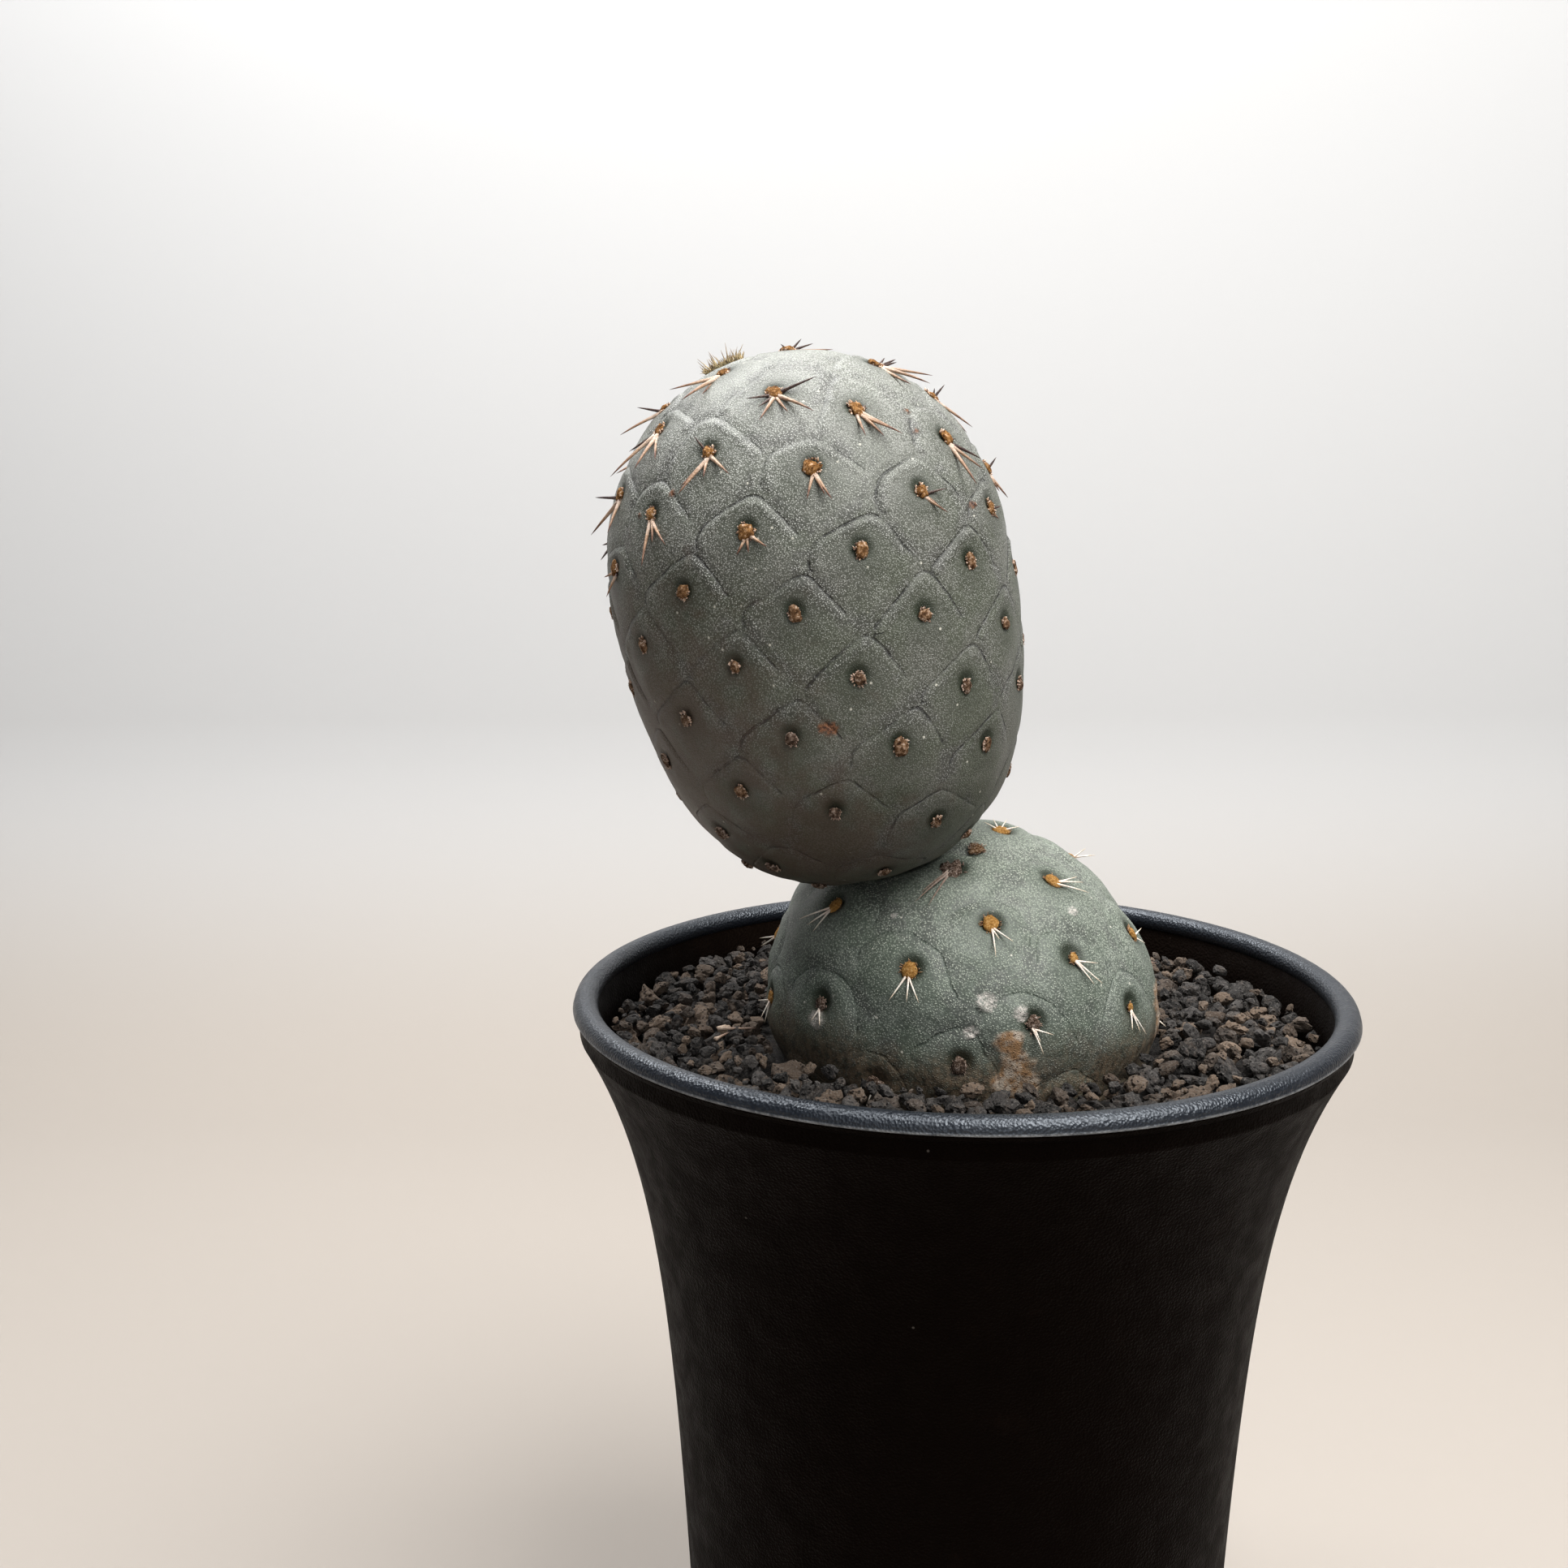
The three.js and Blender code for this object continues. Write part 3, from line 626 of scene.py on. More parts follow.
def tuft_mesh(shape, areole, across, along, height, ragged, seed):
    """A lumpy felted cushion sunk in the skin, with its size across and along the segment."""
    RINGS, SIDES = 7, 18
    out, tip, side = areole_axes(shape, areole)
    cosine, sine = circle(SIDES).T[:, :, None]
    round_about = cosine * side * across + sine * tip * along
    rise = np.linspace(-0.3 * math.pi, 0.47 * math.pi, RINGS)[:, None, None]
    points = (round_about[None] * np.cos(rise) + out * np.sin(rise) * height).reshape(-1, 3)
    lumps = 1 + ragged * rough_noise(points + seed, 0.6, seed)[:, None]
    return areole + points * lumps, rings_to_faces(RINGS, SIDES)


def bristle_ring(
    heap, shape, areole, count, across, along, length, draw,
    lean=(0.25, 1.1), thick=(0.045, 0.085), dark=None, aged=0,
):
    """Glochids and flakes of wool: short bristles round and among a tuft, as dark as given or drawn."""
    out, tip, side = areole_axes(shape, areole)
    for _ in range(count):
        angle = draw.uniform(0, 2 * math.pi)
        spread = math.sqrt(draw.uniform(0.25, 1))
        outward = math.cos(angle) * side * across + math.sin(angle) * tip * along
        root = areole + outward * spread - out * 0.12
        sideways = np.cross(out, outward) * draw.uniform(-0.5, 0.5)
        leaning = unit(outward) * draw.uniform(*lean) * spread
        direction = unit(leaning + sideways + out * draw.uniform(0.4, 1))
        size = length * draw.uniform(0.45, 1)
        bend = -out * draw.uniform(0, 0.3)
        points, faces, rows = spine_mesh(root, direction, size, draw.uniform(*thick), bend, 4, 4)
        drawn = draw.uniform(0, 1)
        shown = drawn if dark is None else dark
        heap.add(placed(shape, points), faces, along=rows, dark=shown, aged=aged)


def rock_kinds(detail, seed):
    """Porous angular lumps: a ball cut by planes, then roughened and pitted."""
    directions, faces = ball(detail)
    draw = np.random.default_rng(seed)
    kinds = []
    for kind in range(ROCK_KINDS):
        normals = unit(draw.normal(size=(9, 3)))
        depths = draw.uniform(0.5, 0.92, 9)
        facing = np.maximum(directions @ normals.T, 0.05)
        radius = np.minimum(depths / facing, 1.08).min(axis=1)
        radius *= 1 + 0.2 * rough_noise(directions, 0.62, seed + 31 * kind, 4)
        radius -= 0.17 * smooth_step(0.25, 0.6, smooth_noise(directions, 0.33, seed + 17 * kind))
        kinds.append(directions * radius[:, None])
    return kinds, faces


def random_turns(draw, count):
    """Rotations from random quaternions."""
    w, x, y, z = unit(draw.normal(size=(count, 4))).T
    return np.array([
        [1 - 2 * (y * y + z * z), 2 * (x * y - z * w), 2 * (x * z + y * w)],
        [2 * (x * y + z * w), 1 - 2 * (x * x + z * z), 2 * (y * z - x * w)],
        [2 * (x * z - y * w), 2 * (y * z + x * w), 1 - 2 * (x * x + y * y)],
    ]).transpose(2, 0, 1)


def outer_radius(depth):
    return NECK_RADIUS - TAPER * depth + FLARE * np.exp(-depth / FLARE_DEPTH)


def inner_radius(depth):
    return outer_radius(depth) - WALL


class Bed:
    """Height of the grit over a grid, raised by each grain that comes to rest on it."""

    CELL = 0.3

    def __init__(self):
        reach = math.ceil(inner_radius(BED_DEPTH) / self.CELL) + 8
        steps = np.arange(-reach, reach + 1) * self.CELL
        self.reach = reach
        self.x, self.y = np.meshgrid(steps, steps, indexing="ij")
        level = RIM - BED_DEPTH
        spots = np.stack([self.x.ravel(), self.y.ravel(), np.full(self.x.size, level + 4)], axis=1)
        self.plant = (clearance(LOWER, spots) < GRIT_GAP).reshape(self.x.shape)
        self.height = np.full(self.x.shape, level)

    def rest(self, x, y, radius):
        """Height at which a grain's middle rests, or None if the plant is in its way."""
        around, cap = self.window(x, y, radius)
        if (self.plant[around] & (cap > 0.45 * radius)).any():
            return None
        return (self.height[around] + cap)[cap > 0].max()

    def settle(self, x, y, z, radius):
        around, cap = self.window(x, y, radius)
        heights = self.height[around]
        self.height[around] = np.where(cap > 0, np.maximum(heights, z + cap), heights)

    def top(self, x, y, radius=0.5):
        """The highest grain within a small radius."""
        around, cap = self.window(x, y, radius)
        return self.height[around][cap > 0].max()

    def window(self, x, y, radius):
        reach = math.ceil(radius / self.CELL)
        row, column = round(x / self.CELL) + self.reach, round(y / self.CELL) + self.reach
        around = slice(row - reach, row + reach + 1), slice(column - reach, column + reach + 1)
        left = radius**2 - (self.x[around] - x) ** 2 - (self.y[around] - y) ** 2
        return around, GRAIN_FLATNESS * np.sqrt(np.maximum(left, 0))


def drop_grains(bed, name, material, count, radius, detail, seed):
    """Drops grains of mixed sizes, each at the lowest of a few places tried, as one piece."""
    PLANT_RADIUS = 21
    SMALL_ONES = 1.6
    SHORTEST, LONGEST = (1, 0.75, 0.65), (1.2, 1, 0.9)
    FLATTENED = (1, 1, 0.85)
    draw = np.random.default_rng(seed)
    kinds, faces = rock_kinds(detail, seed)
    turns = random_turns(draw, count)
    heap = Heap()
    sizes = np.sort(radius[0] + (radius[1] - radius[0]) * draw.uniform(size=count) ** SMALL_ONES)[::-1]
    for number, size in enumerate(sizes):
        wall = inner_radius(BED_DEPTH - 2) - size * 0.9 - 0.3
        best = None
        for _ in range(GRAIN_TRIES):
            angle = draw.uniform(0, 2 * math.pi)
            spread = math.sqrt(draw.uniform(PLANT_RADIUS**2, wall**2))
            x, y = spread * math.cos(angle), spread * math.sin(angle)
            height = bed.rest(x, y, size)
            if height is not None and (best is None or height < best[2]):
                best = (x, y, height)
        if best is None:
            continue
        bed.settle(*best, size)
        shape = kinds[number % ROCK_KINDS] * size * draw.uniform(SHORTEST, LONGEST)
        points = shape @ turns[number].T * FLATTENED + best
        heap.add(points, faces, tone=draw.uniform(), hue=draw.uniform())
    heap.make(name, material, "lava_grit", "soil", smooth=False)


# Materials

def shade(color, factor):
    return tuple(part * factor for part in color)


class Value:
    """A number or colour that a material's nodes work out."""

    def __init__(self, look, socket):
        self.look, self.socket = look, socket

    def math(self, other, operation):
        return self.look.add("ShaderNodeMath", {0: self, 1: other}, operation=operation)

    def __mul__(self, other):
        return self.math(other, "MULTIPLY")

    def __add__(self, other):
        return self.math(other, "ADD")

    def __sub__(self, other):
        return self.math(other, "SUBTRACT")

    def fit(self, low, high, to_low=0.0, to_high=1.0):
        """Its place between two values, eased and taken to two others."""
        inputs = {"Value": self, "From Min": low, "From Max": high, "To Min": to_low, "To Max": to_high}
        return self.look.add("ShaderNodeMapRange", inputs, interpolation_type="SMOOTHSTEP")


class Look:
    """Short calls that build one material's nodes. Sizes are in mm, and colours are linear."""

    def __init__(self, name):
        self.material = bpy.data.materials.new(name)
        self.material.use_nodes = True
        self.tree = self.material.node_tree
        self.shader = self.tree.nodes["Principled BSDF"]
        self.place = self.add("ShaderNodeTexCoord", {}, "Object")

    def add(self, kind, inputs, output=0, **settings):
        """Adds a node, links or sets its inputs, and gives one of its outputs."""
        node = self.tree.nodes.new(kind)
        for setting, value in settings.items():
            setattr(node, setting, value)
        for key, value in inputs.items():
            self.put(node.inputs[key], value)
        return Value(self, node.outputs[output])

    def put(self, socket, value):
        if isinstance(value, Value):
            self.tree.links.new(value.socket, socket)
        elif socket.type == "RGBA":
            socket.default_value = (*value, 1)
        else:
            socket.default_value = value

    def pattern(self, size, seed):
        """Inputs that give a texture its size and, by its seed, a pattern of its own."""
        shift = (seed * 0.31, seed * 0.17, seed * 0.23)
        moved = self.add("ShaderNodeVectorMath", {0: self.place, 1: shift})
        return {"Vector": moved, "Scale": 1 / (size * MM)}

    def noise(self, size, detail=2, roughness=0.5, seed=0):
        inputs = {**self.pattern(size, seed), "Detail": detail, "Roughness": roughness}
        return self.add("ShaderNodeTexNoise", inputs)

    def cells(self, size, seed):
        """Distance to the middle of the nearest cell, in cells, and a random number for each cell."""
        distance = self.add("ShaderNodeTexVoronoi", self.pattern(size, seed), "Distance")
        return distance, Value(self, distance.socket.node.outputs["Color"])

    def field(self, name):
        return self.add("ShaderNodeAttribute", {}, "Fac", attribute_name=name)

    def mix(self, factor, first, second):
        return self.add("ShaderNodeMix", {0: factor, 6: first, 7: second}, 2, data_type="RGBA")

    def ramp(self, value, places, colors):
        color = self.add("ShaderNodeValToRGB", {"Fac": value}, "Color")
        points = color.socket.node.color_ramp.elements
        while len(points) < len(places):
            points.new(0.5)
        for point, place, shown in zip(points, places, colors):
            point.position = place
            point.color = (*shown, 1)
        return color

    def finish(self, color, roughness, relief=None, **constants):
        """Sets the shader's colour, roughness and constants, and its bumps from a relief in mm."""
        self.put(self.shader.inputs["Base Color"], color)
        self.put(self.shader.inputs["Roughness"], roughness)
        if relief:
            bumps = self.add("ShaderNodeBump", {"Height": relief, "Distance": MM, "Strength": 1.0})
            self.put(self.shader.inputs["Normal"], bumps)
        for name, value in constants.items():
            self.shader.inputs[name.replace("_", " ")].default_value = value
        return self.material


def skin_look(name, green, dull, frost, frosting, tip_frost_and_light, crease_shade_color, line_strength, grain_size):
    """Waxy skin: two blotched greens under whitish granules, lighter towards the tip partly by painted
    light, with roof lines whose creases carry painted shade, painted shade in the valleys and hollows, and
    the marks.
    """
    VALLEY_SHADE_COLOR = (0.05, 0.045, 0.05)
    PIT_SHADE_COLOR = (0.016, 0.022, 0.012)
    FLUSH_COLOR = (0.062, 0.037, 0.025)
    SPECK_COLOR = (0.62, 0.6, 0.52)
    CRACK_COLOR = (0.07, 0.035, 0.018)
    look = Look(name)
    share, areole, near = look.field("share"), look.field("areole"), look.field("roof_near")
    below = look.field("roof_side").math(near.math(0.05, "MAXIMUM"), "DIVIDE")

    color = look.mix(look.noise(6, 3, 0.6, 1).fit(0.38, 0.64), green, dull)
    # Lighter towards the tip: partly the waxy frost, which is thicker there, and partly painted light from
    # above
    color = look.mix(share.fit(-0.1, 1, 0, tip_frost_and_light), color, shade(frost, 0.55))
    # Painted shade, with a purplish-grey cast, in the low ground between the tubercles
    valley = look.field("swell").fit(0.1, 0.6, 1, 0) * look.noise(3, 3, 0.6, 12).fit(0.42, 0.62)
    color = look.mix(valley * 0.5, color, VALLEY_SHADE_COLOR)
    color = look.mix(areole.fit(1.2, 4.5, 1, 0) * 0.6, color, shade(green, 0.6))

    distance, chance = look.cells(grain_size, 2)
    granule = distance.fit(0.12, 0.5, 1, 0) * chance.fit(0.15, 0.85, 0.3, 1)
    patchy = share + look.noise(4.5, 3, 0.6, 3) * 0.9
    amount = patchy.fit(-0.5, 1.2, *frosting) * areole.fit(0.8, 4, 0.45, 1)
    ridge = look.field("welt") * share.fit(0, 0.7, 0.35, 0.9)
    color = look.mix(granule * (amount + (ridge + valley * 0.3)), color, frost)
    color = look.mix(distance.fit(0.45, 0.75) * 0.55, color, shade(green, 0.45))
    spot, chance = look.cells(1.9, 4)
    speck = spot.fit(0.05, 0.09, 1, 0) * chance.fit(0.45, 0.55)
    color = look.mix(speck * 0.75, color, SPECK_COLOR)

    broken = look.noise(0.9, 2, 0.5, 5).fit(0.34, 0.6, 0.3, 1) * share.fit(0.35, 0.8, 1, 0.3)
    broken = broken * look.noise(3.5, 1, 0.5, 13).fit(0.3, 0.6, 0.35, 1)
    # The dark line along each roof line is painted shade in its crease; the same line also sinks the crease
    # in the relief
    line = below.math(0, "ABSOLUTE").fit(0.03, 0.2, 1, 0) * near.fit(0.3, 0.8) * broken
    color = look.mix(line * line_strength, color, crease_shade_color)
    # Painted shade in the hollow above each areole
    color = look.mix(look.field("hollow").fit(0.8, 1.6, 1, 0) * 0.85, color, PIT_SHADE_COLOR)

    color = look.mix(look.field("flush") * 0.6, color, FLUSH_COLOR)
    bleached = look.mix(look.noise(0.4, 3, 0.75, 7).fit(0.35, 0.65), (0.16, 0.17, 0.15), (0.66, 0.6, 0.55))
    color = look.mix(look.field("pale") * 0.75, color, bleached)
    rust = look.mix(look.noise(0.4, 2, 0.6, 8).fit(0.35, 0.65), (0.035, 0.016, 0.01), (0.2, 0.085, 0.04))
    color = look.mix(look.field("scar"), color, rust)
    mud = look.mix(look.noise(0.8, 4, 0.75, 10).fit(0.35, 0.65), (0.03, 0.022, 0.014), (0.14, 0.1, 0.065))
    washed = look.noise(0.5, 3, 0.7, 11).fit(0.3, 0.6, 0.6, 0.95)
    color = look.mix(look.field("stain") * washed, color, mud)
    crust = look.mix(look.noise(1.6, 4, 0.65, 14).fit(0.4, 0.6), (0.26, 0.15, 0.075), (0.36, 0.3, 0.24))
    crust = look.mix(look.noise(0.45, 4, 0.75, 6).fit(0.36, 0.5, 0.9, 0), crust, CRACK_COLOR)
    color = look.mix(look.field("cork"), color, crust)

    relief = granule * 0.07 + look.noise(0.16, 2, 0.6, 9) * 0.05 - line * (0.16 * line_strength)
    return look.finish(color, granule.fit(0, 1, 0.48, 0.7), relief, Specular_IOR_Level=0.3)


def plastic_look(name, color, dust_color, roughness, specular, tint):
    """Black plastic, finely pebbled, with dust, lint and a worn seam, and a painted reflection in its
    colour and specular colour.
    """
    LINT_COLOR, SEAM_COLOR = (0.2, 0.18, 0.16), (0.2, 0.2, 0.2)
    look = Look(name)
    dust = look.noise(8, 5, 0.75, 1).fit(0.55, 0.8)
    base = look.mix(dust * 0.04, color, dust_color)
    spot, chance = look.cells(6, 3)
    lint = spot.fit(0.012, 0.03, 1, 0) * chance.fit(0.5, 0.6)
    base = look.mix(lint * 0.3, base, LINT_COLOR)
    worn = look.noise(1.3, 3, 0.7, 5).fit(0.3, 0.6, 0.3, 1)
    base = look.mix(look.field("seam") * worn, base, SEAM_COLOR)
    relief = look.cells(0.3, 6)[0] * 0.075 + look.noise(0.8, 3, 0.6, 7) * 0.02
    shine = look.noise(3, 3, 0.6, 8).fit(0.3, 0.7, roughness - 0.06, roughness + 0.08)
    return look.finish(base, shine, relief, Specular_IOR_Level=specular, Specular_Tint=(*tint, 1))


def grit_look():
    """Porous lava: near black grains with dull brown ones among them, pitted, with painted shade in the
    pits, and dusty.
    """
    look = Look("lava_grains")
    tone = look.field("tone")
    black = look.mix(tone, (0.012, 0.011, 0.0105), (0.045, 0.041, 0.039))
    brown = look.mix(tone, (0.035, 0.024, 0.017), (0.14, 0.1, 0.072))
    color = look.mix(look.field("hue").fit(0.6, 0.78), black, brown)
    color = look.mix(look.noise(1.5, 3, 0.6, 1).fit(0.5, 0.7) * 0.4, color, (0.085, 0.064, 0.05))
    dust = look.noise(0.25, 3, 0.75, 2).fit(0.5, 0.68)
    color = look.mix(dust * 0.45, color, (0.17, 0.155, 0.14))
    distance, chance = look.cells(0.42, 3)
    pore = distance.fit(0.2, 0.42, 1, 0) * chance.fit(0.45, 0.6)
    # Pores painted near black: painted shade in the pits
    color = look.mix(pore * 0.85, color, (0.004, 0.003, 0.003))
    relief = look.noise(0.35, 4, 0.75, 4) * 0.22 - pore * 0.14
    return look.finish(color, 0.92, relief, Specular_IOR_Level=0.25)


def wool_look(name, size, fresh):
    """Felted wool in lumps of a size, with colours from its gaps to its tips, or a scab's where aged."""
    PLACES = (0.36, 0.46, 0.57, 0.7)
    look = Look(name)
    lumps = look.noise(size, 4, 0.75, 1)
    color = look.mix(look.field("aged"), look.ramp(lumps, PLACES, fresh), look.ramp(lumps, PLACES, SCAB))
    return look.finish(color, 0.95, look.noise(0.16, 3, 0.8, 2) * 0.12, Specular_IOR_Level=0.1)


def spine_look(name, pale, middle, tip, dark):
    """A dry spine: pale at its base, then brown, and dark at its tip. Dark ones are so almost all along."""
    look = Look(name)
    along = look.field("along") + look.noise(0.8, 2, 0.6, 1).fit(0.3, 0.7, -0.12, 0.12)
    light = look.ramp(along, (0.12, 0.5, 0.88), (pale, middle, tip))
    color = look.mix((look.field("dark") + along * 0.3).fit(0.75, 1.05), light, dark)
    streaks = look.noise(0.2, 2, 0.6, 2).fit(0.4, 0.65)
    color = look.mix(streaks * 0.4, color, shade(middle, 0.45))
    color = look.mix(look.field("aged") * 0.75, color, (0.3, 0.22, 0.18))
    return look.finish(color, 0.45, streaks * 0.02, Specular_IOR_Level=0.35)


# The object

def make_turned(name, profile, material, seam):
    """A closed outline turned about the pot's axis."""
    SIDES = 192
    points = turned_rings(profile, SIDES)
    faces = rings_to_faces(len(profile), SIDES, closed_loop=True)
    make_piece(name, points, faces, material, "pot", {"seam": np.repeat(seam, SIDES)})


def lip_points(angles, inset):
    """Points round the lip, from its outer side at 0 over its top, a little inside its full width."""
    across = RIM_RADIUS - LIP_HALF_WIDTH + (LIP_HALF_WIDTH - inset) * np.cos(angles)
    return np.stack([across, RIM - LIP_HALF_HEIGHT + LIP_HALF_HEIGHT * np.sin(angles)], axis=1)


def make_pot():
    """The body with the underside of its lip, browned by a painted reflection, and the rest of the lip,
    which is shinier and blued by a painted reflection.
    """
    CROWDING = 1.7
    INSET = 0.05
    foot = outer_radius(RIM)
    profile = [(DRAIN_RADIUS, FOOT_RECESS), (foot - FOOT_WIDTH - FOOT_BEVEL, FOOT_RECESS)]
    profile += [(foot - FOOT_WIDTH, 0), (foot - FOOT_BEVEL, 0)]
    depths = WALL_START + (RIM - FOOT_BEVEL - WALL_START) * np.linspace(1, 0, 34) ** CROWDING
    profile += [(outer_radius(depth), RIM - depth) for depth in depths]
    profile += list(lip_points(np.radians(np.arange(-66, -11, 9)), INSET))
    profile += [(RIM_RADIUS - LIP_HALF_WIDTH - 1, RIM - LIP_HALF_HEIGHT)]
    depths = INNER_START + (RIM - FLOOR_TOP - INNER_START) * np.linspace(0, 1, 22) ** CROWDING
    profile += [(inner_radius(depth), RIM - depth) for depth in depths]
    profile += [(DRAIN_RADIUS, FLOOR_TOP)]
    make_turned("pot_body", profile, plastic_look("black_plastic", **BODY_PLASTIC), np.zeros(len(profile)))

    angles = np.radians(np.arange(-13, 226, 5))
    seam = hump(angles + 0.12, 0.07)
    profile = lip_points(angles, INSET - LIP_SEAM * seam)
    make_turned("pot_rim", profile, plastic_look("rim_plastic", **RIM_PLASTIC), seam)


def make_grit(material):
    """The bed: rings up the plant's side of its hollow, over its top and down the pot's wall."""
    SIDES, HALVINGS = 96, 24
    HOLLOW_DEPTH, FARTHEST = 17.2, 30.0
    WALL_GAP = 0.4
    ways = circle(SIDES)
    rings = []
    for height in np.linspace(LOWER["centre"][2] - HOLLOW_DEPTH, RIM - BED_DEPTH, 7):
        near, far = np.zeros(SIDES), np.full(SIDES, FARTHEST)
        for _ in range(HALVINGS):
            middle = (near + far) / 2
            spots = np.column_stack([ways * middle[:, None], np.full(SIDES, height)])
            outside = clearance(LOWER, spots) > GRIT_GAP
            near, far = np.where(outside, near, middle), np.where(outside, middle, far)
        rings.append(np.column_stack([ways * near[:, None], np.full(SIDES, height)]))
    for depth in np.linspace(BED_DEPTH, RIM - FLOOR_TOP - WALL_GAP, 16):
        wall = ways * (inner_radius(depth) - WALL_GAP)
        rings.append(np.column_stack([wall, np.full(SIDES, RIM - depth)]))
    rings = rings[::-1]
    faces = rings_to_faces(len(rings), SIDES)[:, ::-1]
    points = np.concatenate(rings)
    tones = {"tone": np.full(len(points), 0.2), "hue": np.full(len(points), 0.1)}
    make_piece("grit_bed", points, faces, material, "soil", tones)


def make_lower(material):
    areoles = lower_places()
    points, faces, offset, fields = segment_skin(LOWER, areoles, LOWER_RELIEF)
    fields.update({mark: mark_field(LOWER, points, places) for mark, places in LOWER_MARKS.items()})
    crusts = 0.3 * rough_noise(points, 0.9, 41)
    offset += fields["cork"] * (0.12 + 0.35 * crusts) + fields["pale"] * (0.1 + crusts)
    skin = raised_skin(LOWER, points, offset)
    level = skin[:, 2] - RIM + 2 * smooth_noise(skin, 5, 43) + smooth_noise(skin, 1.5, 44)
    fields["stain"] = 1 - smooth_step(-5.5, 2, level)
    local = unplaced(UPPER, skin)
    seat = on_skin(UPPER, local, SEAT_GAP)
    pressed = np.linalg.norm(local, axis=1) < np.linalg.norm(seat, axis=1)
    skin[pressed] = placed(UPPER, seat[pressed])
    make_piece("stem_lower_skin", skin, faces, material, "stem_segment_lower", fields)
    return areoles


def make_upper(material):
    areoles = upper_places()
    points, faces, offset, fields = segment_skin(UPPER, areoles, UPPER_RELIEF)
    fields["flush"] = mark_field(UPPER, points, UPPER_MARKS["flush"], 0.85)
    fields["scar"] = mark_field(UPPER, points, UPPER_MARKS["scar"])
    dots_field = mark_field(UPPER, points, UPPER_MARKS["dot"])
    fields["scar"] = np.maximum(fields["scar"], dots_field)
    offset += 0.3 * dots_field - 0.1 * fields["scar"]
    skin = raised_skin(UPPER, points, offset)
    make_piece("stem_upper_skin", skin, faces, material, "stem_segment_upper", fields)
    return areoles


def make_root(material):
    """The tapering root under the lower segment, hidden in the grit."""
    base = placed(LOWER, np.array([[0, 0, -LOWER["base"][0]]]))[0]
    profile = [(1.4, -30), (2.6, -20), (3.6, -8), (6.2, -1), (6.8, 2)]
    points = turned_rings(profile, 24) + base
    points[:, :2] += 0.4 * rough_noise(points, 4, 51)[:, None]
    faces = rings_to_faces(len(profile), 24)
    make_piece("root_stock", points, faces, material, "stem_segment_lower", {})


def seen_arm(shape, areole, across, upward):
    """The arm of a spine whose tip shows at the given place, lifted a little off the skin."""
    out, _, _ = placed_axes(shape, areole)
    right, up, back = camera_axes()
    flat = right * across + up * upward
    facing = out @ back
    lift = math.sin(math.radians(SEEN_LIFT)) * np.linalg.norm(flat)
    depth = (lift - flat @ out) / facing if abs(facing) > 0.25 else 0.0
    depth = float(np.clip(depth, -np.linalg.norm(flat), np.linalg.norm(flat)))
    return flat + back * depth


def grow_spine(shape, heap, areole, arm, dark, thickness, draw):
    """One spine from the lower edge of its tuft, along an arm given in the object's frame."""
    SINK = 0.25
    RISE = 0.12
    out, tip, _ = placed_axes(shape, areole)
    length = np.linalg.norm(arm)
    start = placed(shape, areole[None])[0] - tip * RISE - out * SINK
    direction = unit(arm + tip * RISE + out * SINK)
    sideways = np.cross(direction, out)
    start = start + sideways * draw.uniform(-0.2, 0.2)
    bend = -out * draw.uniform(0, 0.09) + sideways * draw.uniform(-0.06, 0.06)
    radius = (0.155 + 0.013 * length) * thickness
    points, faces, along = spine_mesh(start, direction, length + SINK * 0.5, radius, bend)
    heap.add(points, faces, along=along, dark=dark, aged=0)


def fanned_arms(shape, areole, count, length, draw):
    """Arms that fan out towards the base of the segment and lie low over the skin."""
    out, tip, side = placed_axes(shape, areole)
    arms = []
    for number in range(count):
        spread = number / max(count - 1, 1) - 0.5
        fan = math.radians(130 * spread + draw.uniform(-16, 16))
        lift = math.radians(draw.uniform(10, 30))
        flat = side * math.sin(fan) - tip * math.cos(fan)
        reach = length * draw.uniform(0.6, 1) * (1 - 0.35 * abs(spread))
        arms.append((flat * math.cos(lift) + out * math.sin(lift)) * reach)
    return arms


class Dressing:
    """The tufts, bristles and spines of a segment, each gathered into one piece."""

    def __init__(self):
        self.tufts, self.bristles, self.spines = Heap(), Heap(), Heap()

    def make(self, segment, wool, glochid, spine):
        node = f"stem_segment_{segment}"
        self.tufts.make(f"areoles_{segment}", wool, "areole_wool", node)
        self.bristles.make(f"glochids_{segment}", glochid, "areole_wool", node)
        self.spines.make(f"spines_{segment}", spine, "spine", node)


def dress(shape, number, areole, dressing, size, aged, draw):
    """The tuft of one areole, lying in the upper half of its hollow, and the bristles round it."""
    RISE, WOOL, HEIGHT, BRISTLE = 0.15, 0.9, 0.36, 0.55
    _, tip, _ = areole_axes(shape, areole)
    place = areole + tip * RISE
    across, along = size * draw.uniform(0.85, 1.05), size * draw.uniform(0.95, 1.2)
    ragged = UPPER_RAGGED if shape is UPPER else LOWER_RAGGED + (UPPER_RAGGED - LOWER_RAGGED) * aged
    points, faces = tuft_mesh(shape, place, across * WOOL, along * WOOL, size * HEIGHT, ragged, 60 + number)
    dressing.tufts.add(placed(shape, points), faces, aged=aged)
    flakes = {"lean": (0, 0.9), "thick": (0.07, 0.13)} if shape is UPPER else {}
    length = size * BRISTLE
    bristle_ring(dressing.bristles, shape, place, 30, across, along, length, draw, aged=aged, **flakes)


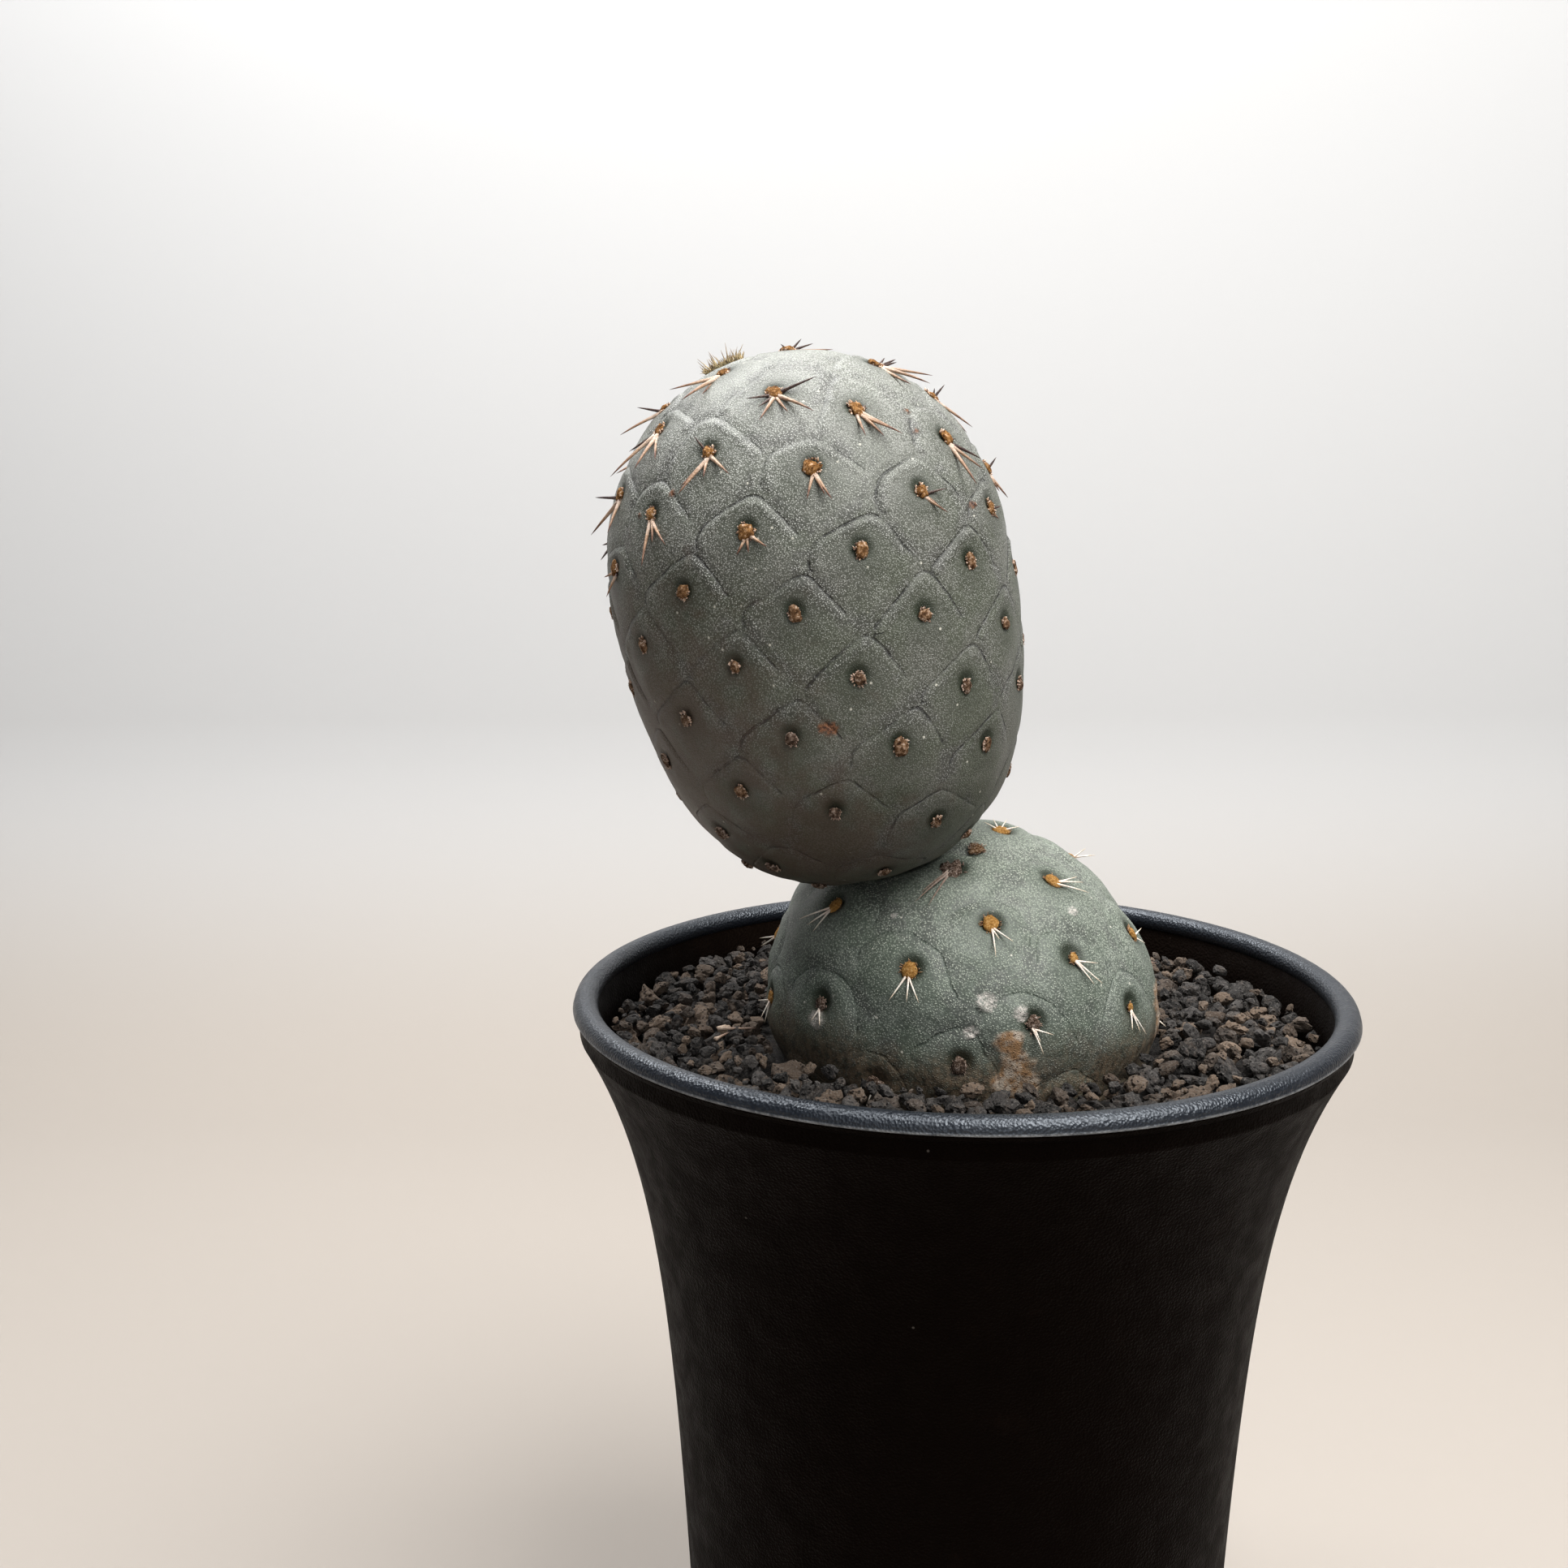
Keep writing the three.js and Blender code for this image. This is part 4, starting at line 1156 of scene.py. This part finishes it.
def dress_upper(areoles, wool, glochid, spine, crest):
    """Dresses the upper segment, whose tufts are scabby low down and woolly near the tip."""
    AGES = 35, 75
    SMALL, LARGE = (0.66, 0.8), (0.78, 0.92)
    SHORTEST, GROWTH = 3, 3.6
    draw = random.Random(5)
    dressing = Dressing()
    for number, areole in enumerate(areoles):
        if number == CREST or clearance(LOWER, placed(UPPER, areole[None]))[0] < UPPER_CLEARANCE:
            continue
        aged = 1 - float(smooth_step(*AGES, np.array(number)))
        size = draw.uniform(*(SMALL if number < FIRST_SPINED else LARGE))
        dress(UPPER, number, areole, dressing, size, aged * draw.uniform(0.6, 1), draw)
        if number in SEEN_SPINES:
            arms = [(seen_arm(UPPER, areole, *place[:2]), place[2]) for place in SEEN_SPINES[number]]
        elif number >= FIRST_SPINED:
            length = SHORTEST + GROWTH * (number - FIRST_SPINED) / (len(areoles) - FIRST_SPINED)
            count = draw.choice((3, 4, 5))
            arms = [(arm, draw.random()) for arm in fanned_arms(UPPER, areole, count, length, draw)]
        else:
            arms = []
        for arm, dark in arms:
            grow_spine(UPPER, dressing.spines, areole, arm, dark, 1, draw)
    grow_crest(areoles[CREST], crest, draw)
    dressing.make("upper", wool, glochid, spine)


def grow_crest(areole, material, draw):
    """A long pale comb of glochids behind the tip, some of them with dark tips."""
    heap = Heap()
    bristle_ring(heap, UPPER, areole, 340, 0.45, 2.1, 1.4, draw, lean=(0.1, 0.4), dark=0)
    bristle_ring(heap, UPPER, areole, 40, 0.5, 2.2, 2.6, draw, lean=(0.1, 0.5), dark=0.7)
    heap.make("crest_upper", material, "areole_wool", "stem_segment_upper")


def dress_lower(areoles, wool, glochid, spine):
    """Round felted cushions in their pits, each with a few thin pale spines that point down."""
    SUNK, SPINE_LENGTH, THICKNESS, CLEAR = 0.3, 3.4, 0.62, 0.4
    DARK = {LOWER_DRY: 0.9}
    draw = random.Random(9)
    dressing = Dressing()
    for number, areole in enumerate(areoles):
        place = placed(LOWER, areole[None])
        if place[0, 2] < RIM - BURIED or clearance(UPPER, place)[0] < LOWER_CLEARANCE:
            continue
        sunk = on_skin(LOWER, areole[None], -SUNK)[0]
        size = LOWER_TUFT_SIZES.get(number, draw.uniform(0.8, 1.1))
        aged = 1 if place[0, 2] < RIM - 2 or number in LOWER_AGED else 0.15 * draw.random()
        dress(LOWER, 100 + number, sunk, dressing, size, aged, draw)
        if number in LOWER_SEEN_SPINES:
            arms = [seen_arm(LOWER, areole, *tip) for tip in LOWER_SEEN_SPINES[number]]
        else:
            arms = fanned_arms(LOWER, areole, draw.choice((2, 3, 3, 4)), SPINE_LENGTH, draw)
        for arm in arms:
            if clearance(UPPER, place + arm)[0] > CLEAR:
                grow_spine(LOWER, dressing.spines, areole, arm, DARK.get(number, 0), THICKNESS, draw)
    dress(LOWER, 99, at_bearing(LOWER, *LOWER_SCAB)[0], dressing, 1, 0.8, draw)
    dressing.make("lower", wool, glochid, spine)


# Camera, light and stage

def camera_axes():
    """Unit vectors to the camera's right, up, and back towards it."""
    pitch, roll = math.radians(CAMERA_PITCH), math.radians(CAMERA_ROLL)
    level_up = np.array([0, math.sin(pitch), math.cos(pitch)])
    level_right = np.array([1, 0, 0])
    right = math.cos(roll) * level_right + math.sin(roll) * level_up
    up = math.cos(roll) * level_up - math.sin(roll) * level_right
    return right, up, np.array([0, -math.cos(pitch), math.sin(pitch)])


def set_up(name, data, place, axes):
    """An object for a camera or light, at a place in mm, with its axes as columns."""
    columns = np.eye(4)
    columns[:3, :3] = np.column_stack(axes)
    columns[:3, 3] = np.array(place) * MM
    made = bpy.data.objects.new(name, data)
    made.matrix_world = Matrix(columns.tolist())
    bpy.context.scene.collection.objects.link(made)
    return made


def make_camera():
    lens = bpy.data.cameras.new("camera")
    lens.sensor_width = SENSOR_WIDTH
    lens.lens = SENSOR_WIDTH * FOCAL_PIXELS / PHOTO_SIZE
    lens.clip_start = 0.01
    bpy.context.scene.camera = set_up("camera", lens, CAMERA_PLACE, camera_axes())


def make_stage():
    """A pale floor that sweeps up into a wall behind the pot."""
    WALL_PLACE, BEND, HALF_WIDTH, FRONT, TOP = 300, 90, 900, -700, 900
    profile = [(FRONT, 0)]
    for step in range(13):
        angle = math.radians(step * 7.5)
        profile.append((WALL_PLACE - BEND + BEND * math.sin(angle), BEND - BEND * math.cos(angle)))
    profile.append((WALL_PLACE, TOP))
    points = [(x, y, z) for y, z in profile for x in (-HALF_WIDTH, HALF_WIDTH)]
    faces = [(row, row + 1, row + 3, row + 2) for row in range(0, len(points) - 2, 2)]
    look = Look("pale_stage")
    height = look.add("ShaderNodeSeparateXYZ", {"Vector": look.place}, "Z")
    color = look.mix(height.fit(0, BEND * MM), FLOOR_COLOR, WALL_COLOR)
    stage = make_object("stage_sweep", points, faces, look.finish(color, 0.75), {})


def make_light(name, place, size, power, color):
    """A square soft light that faces the middle of the plant."""
    data = bpy.data.lights.new(name, "AREA")
    data.size = size * MM
    data.energy = power
    data.color = color
    back = unit(np.array(place, float) - LIGHT_AIM)
    right = unit(np.cross([0, 1, 0.1], back))
    set_up(name, data, place, (right, np.cross(back, right), back))


def make_lights():
    for name, settings in LIGHTS.items():
        make_light(name, **settings)
    world = bpy.data.worlds.new("studio")
    world.use_nodes = True
    background = world.node_tree.nodes["Background"]
    background.inputs["Color"].default_value = WORLD_COLOR
    background.inputs["Strength"].default_value = WORLD_STRENGTH
    bpy.context.scene.world = world
    bpy.context.scene.view_settings.view_transform = "Standard"


def make_plant():
    young, old = (skin_look(name, **colors) for name, colors in SKIN_LOOKS.items())
    young_wool, old_wool = (wool_look(name, **rest) for name, rest in WOOL_LOOKS.items())
    young_glochid, young_spine, crest, old_glochid, old_spine = (
        spine_look(name, *colors) for name, colors in SPINE_LOOKS.items()
    )
    dress_upper(make_upper(young), young_wool, young_glochid, young_spine, crest)
    dress_lower(make_lower(old), old_wool, old_glochid, old_spine)
    make_root(old)


def drop_debris(bed):
    """A pale chip and a few fallen spines that lie on the grit."""
    kinds, faces = rock_kinds(3, 12)
    heap = Heap()
    place = (*PALE_CHIP, bed.top(*PALE_CHIP) + 0.4)
    heap.add(kinds[0] * (1, 0.8, 0.7) + place, faces, along=0.2, dark=0, aged=0)
    for ends in FALLEN_SPINES:
        start, end = (np.array((*end, bed.top(*end) + 0.4)) for end in ends)
        length = np.linalg.norm(end - start)
        bend = np.array([0, 0, 0.04])
        points, faces, along = spine_mesh(start, (end - start) / length, length, 0.2, bend)
        heap.add(points, faces, along=along, dark=0, aged=0.5)
    heap.make("debris", spine_look("dry_debris", *DRY_DEBRIS), "spine", "soil")


def make_fill():
    grains = grit_look()
    make_grit(grains)
    bed = Bed()
    for name, sizes in GRAINS.items():
        drop_grains(bed, name, grains, **sizes)
    drop_debris(bed)


make_camera()
make_stage()
make_lights()
make_pot()
make_fill()
make_plant()
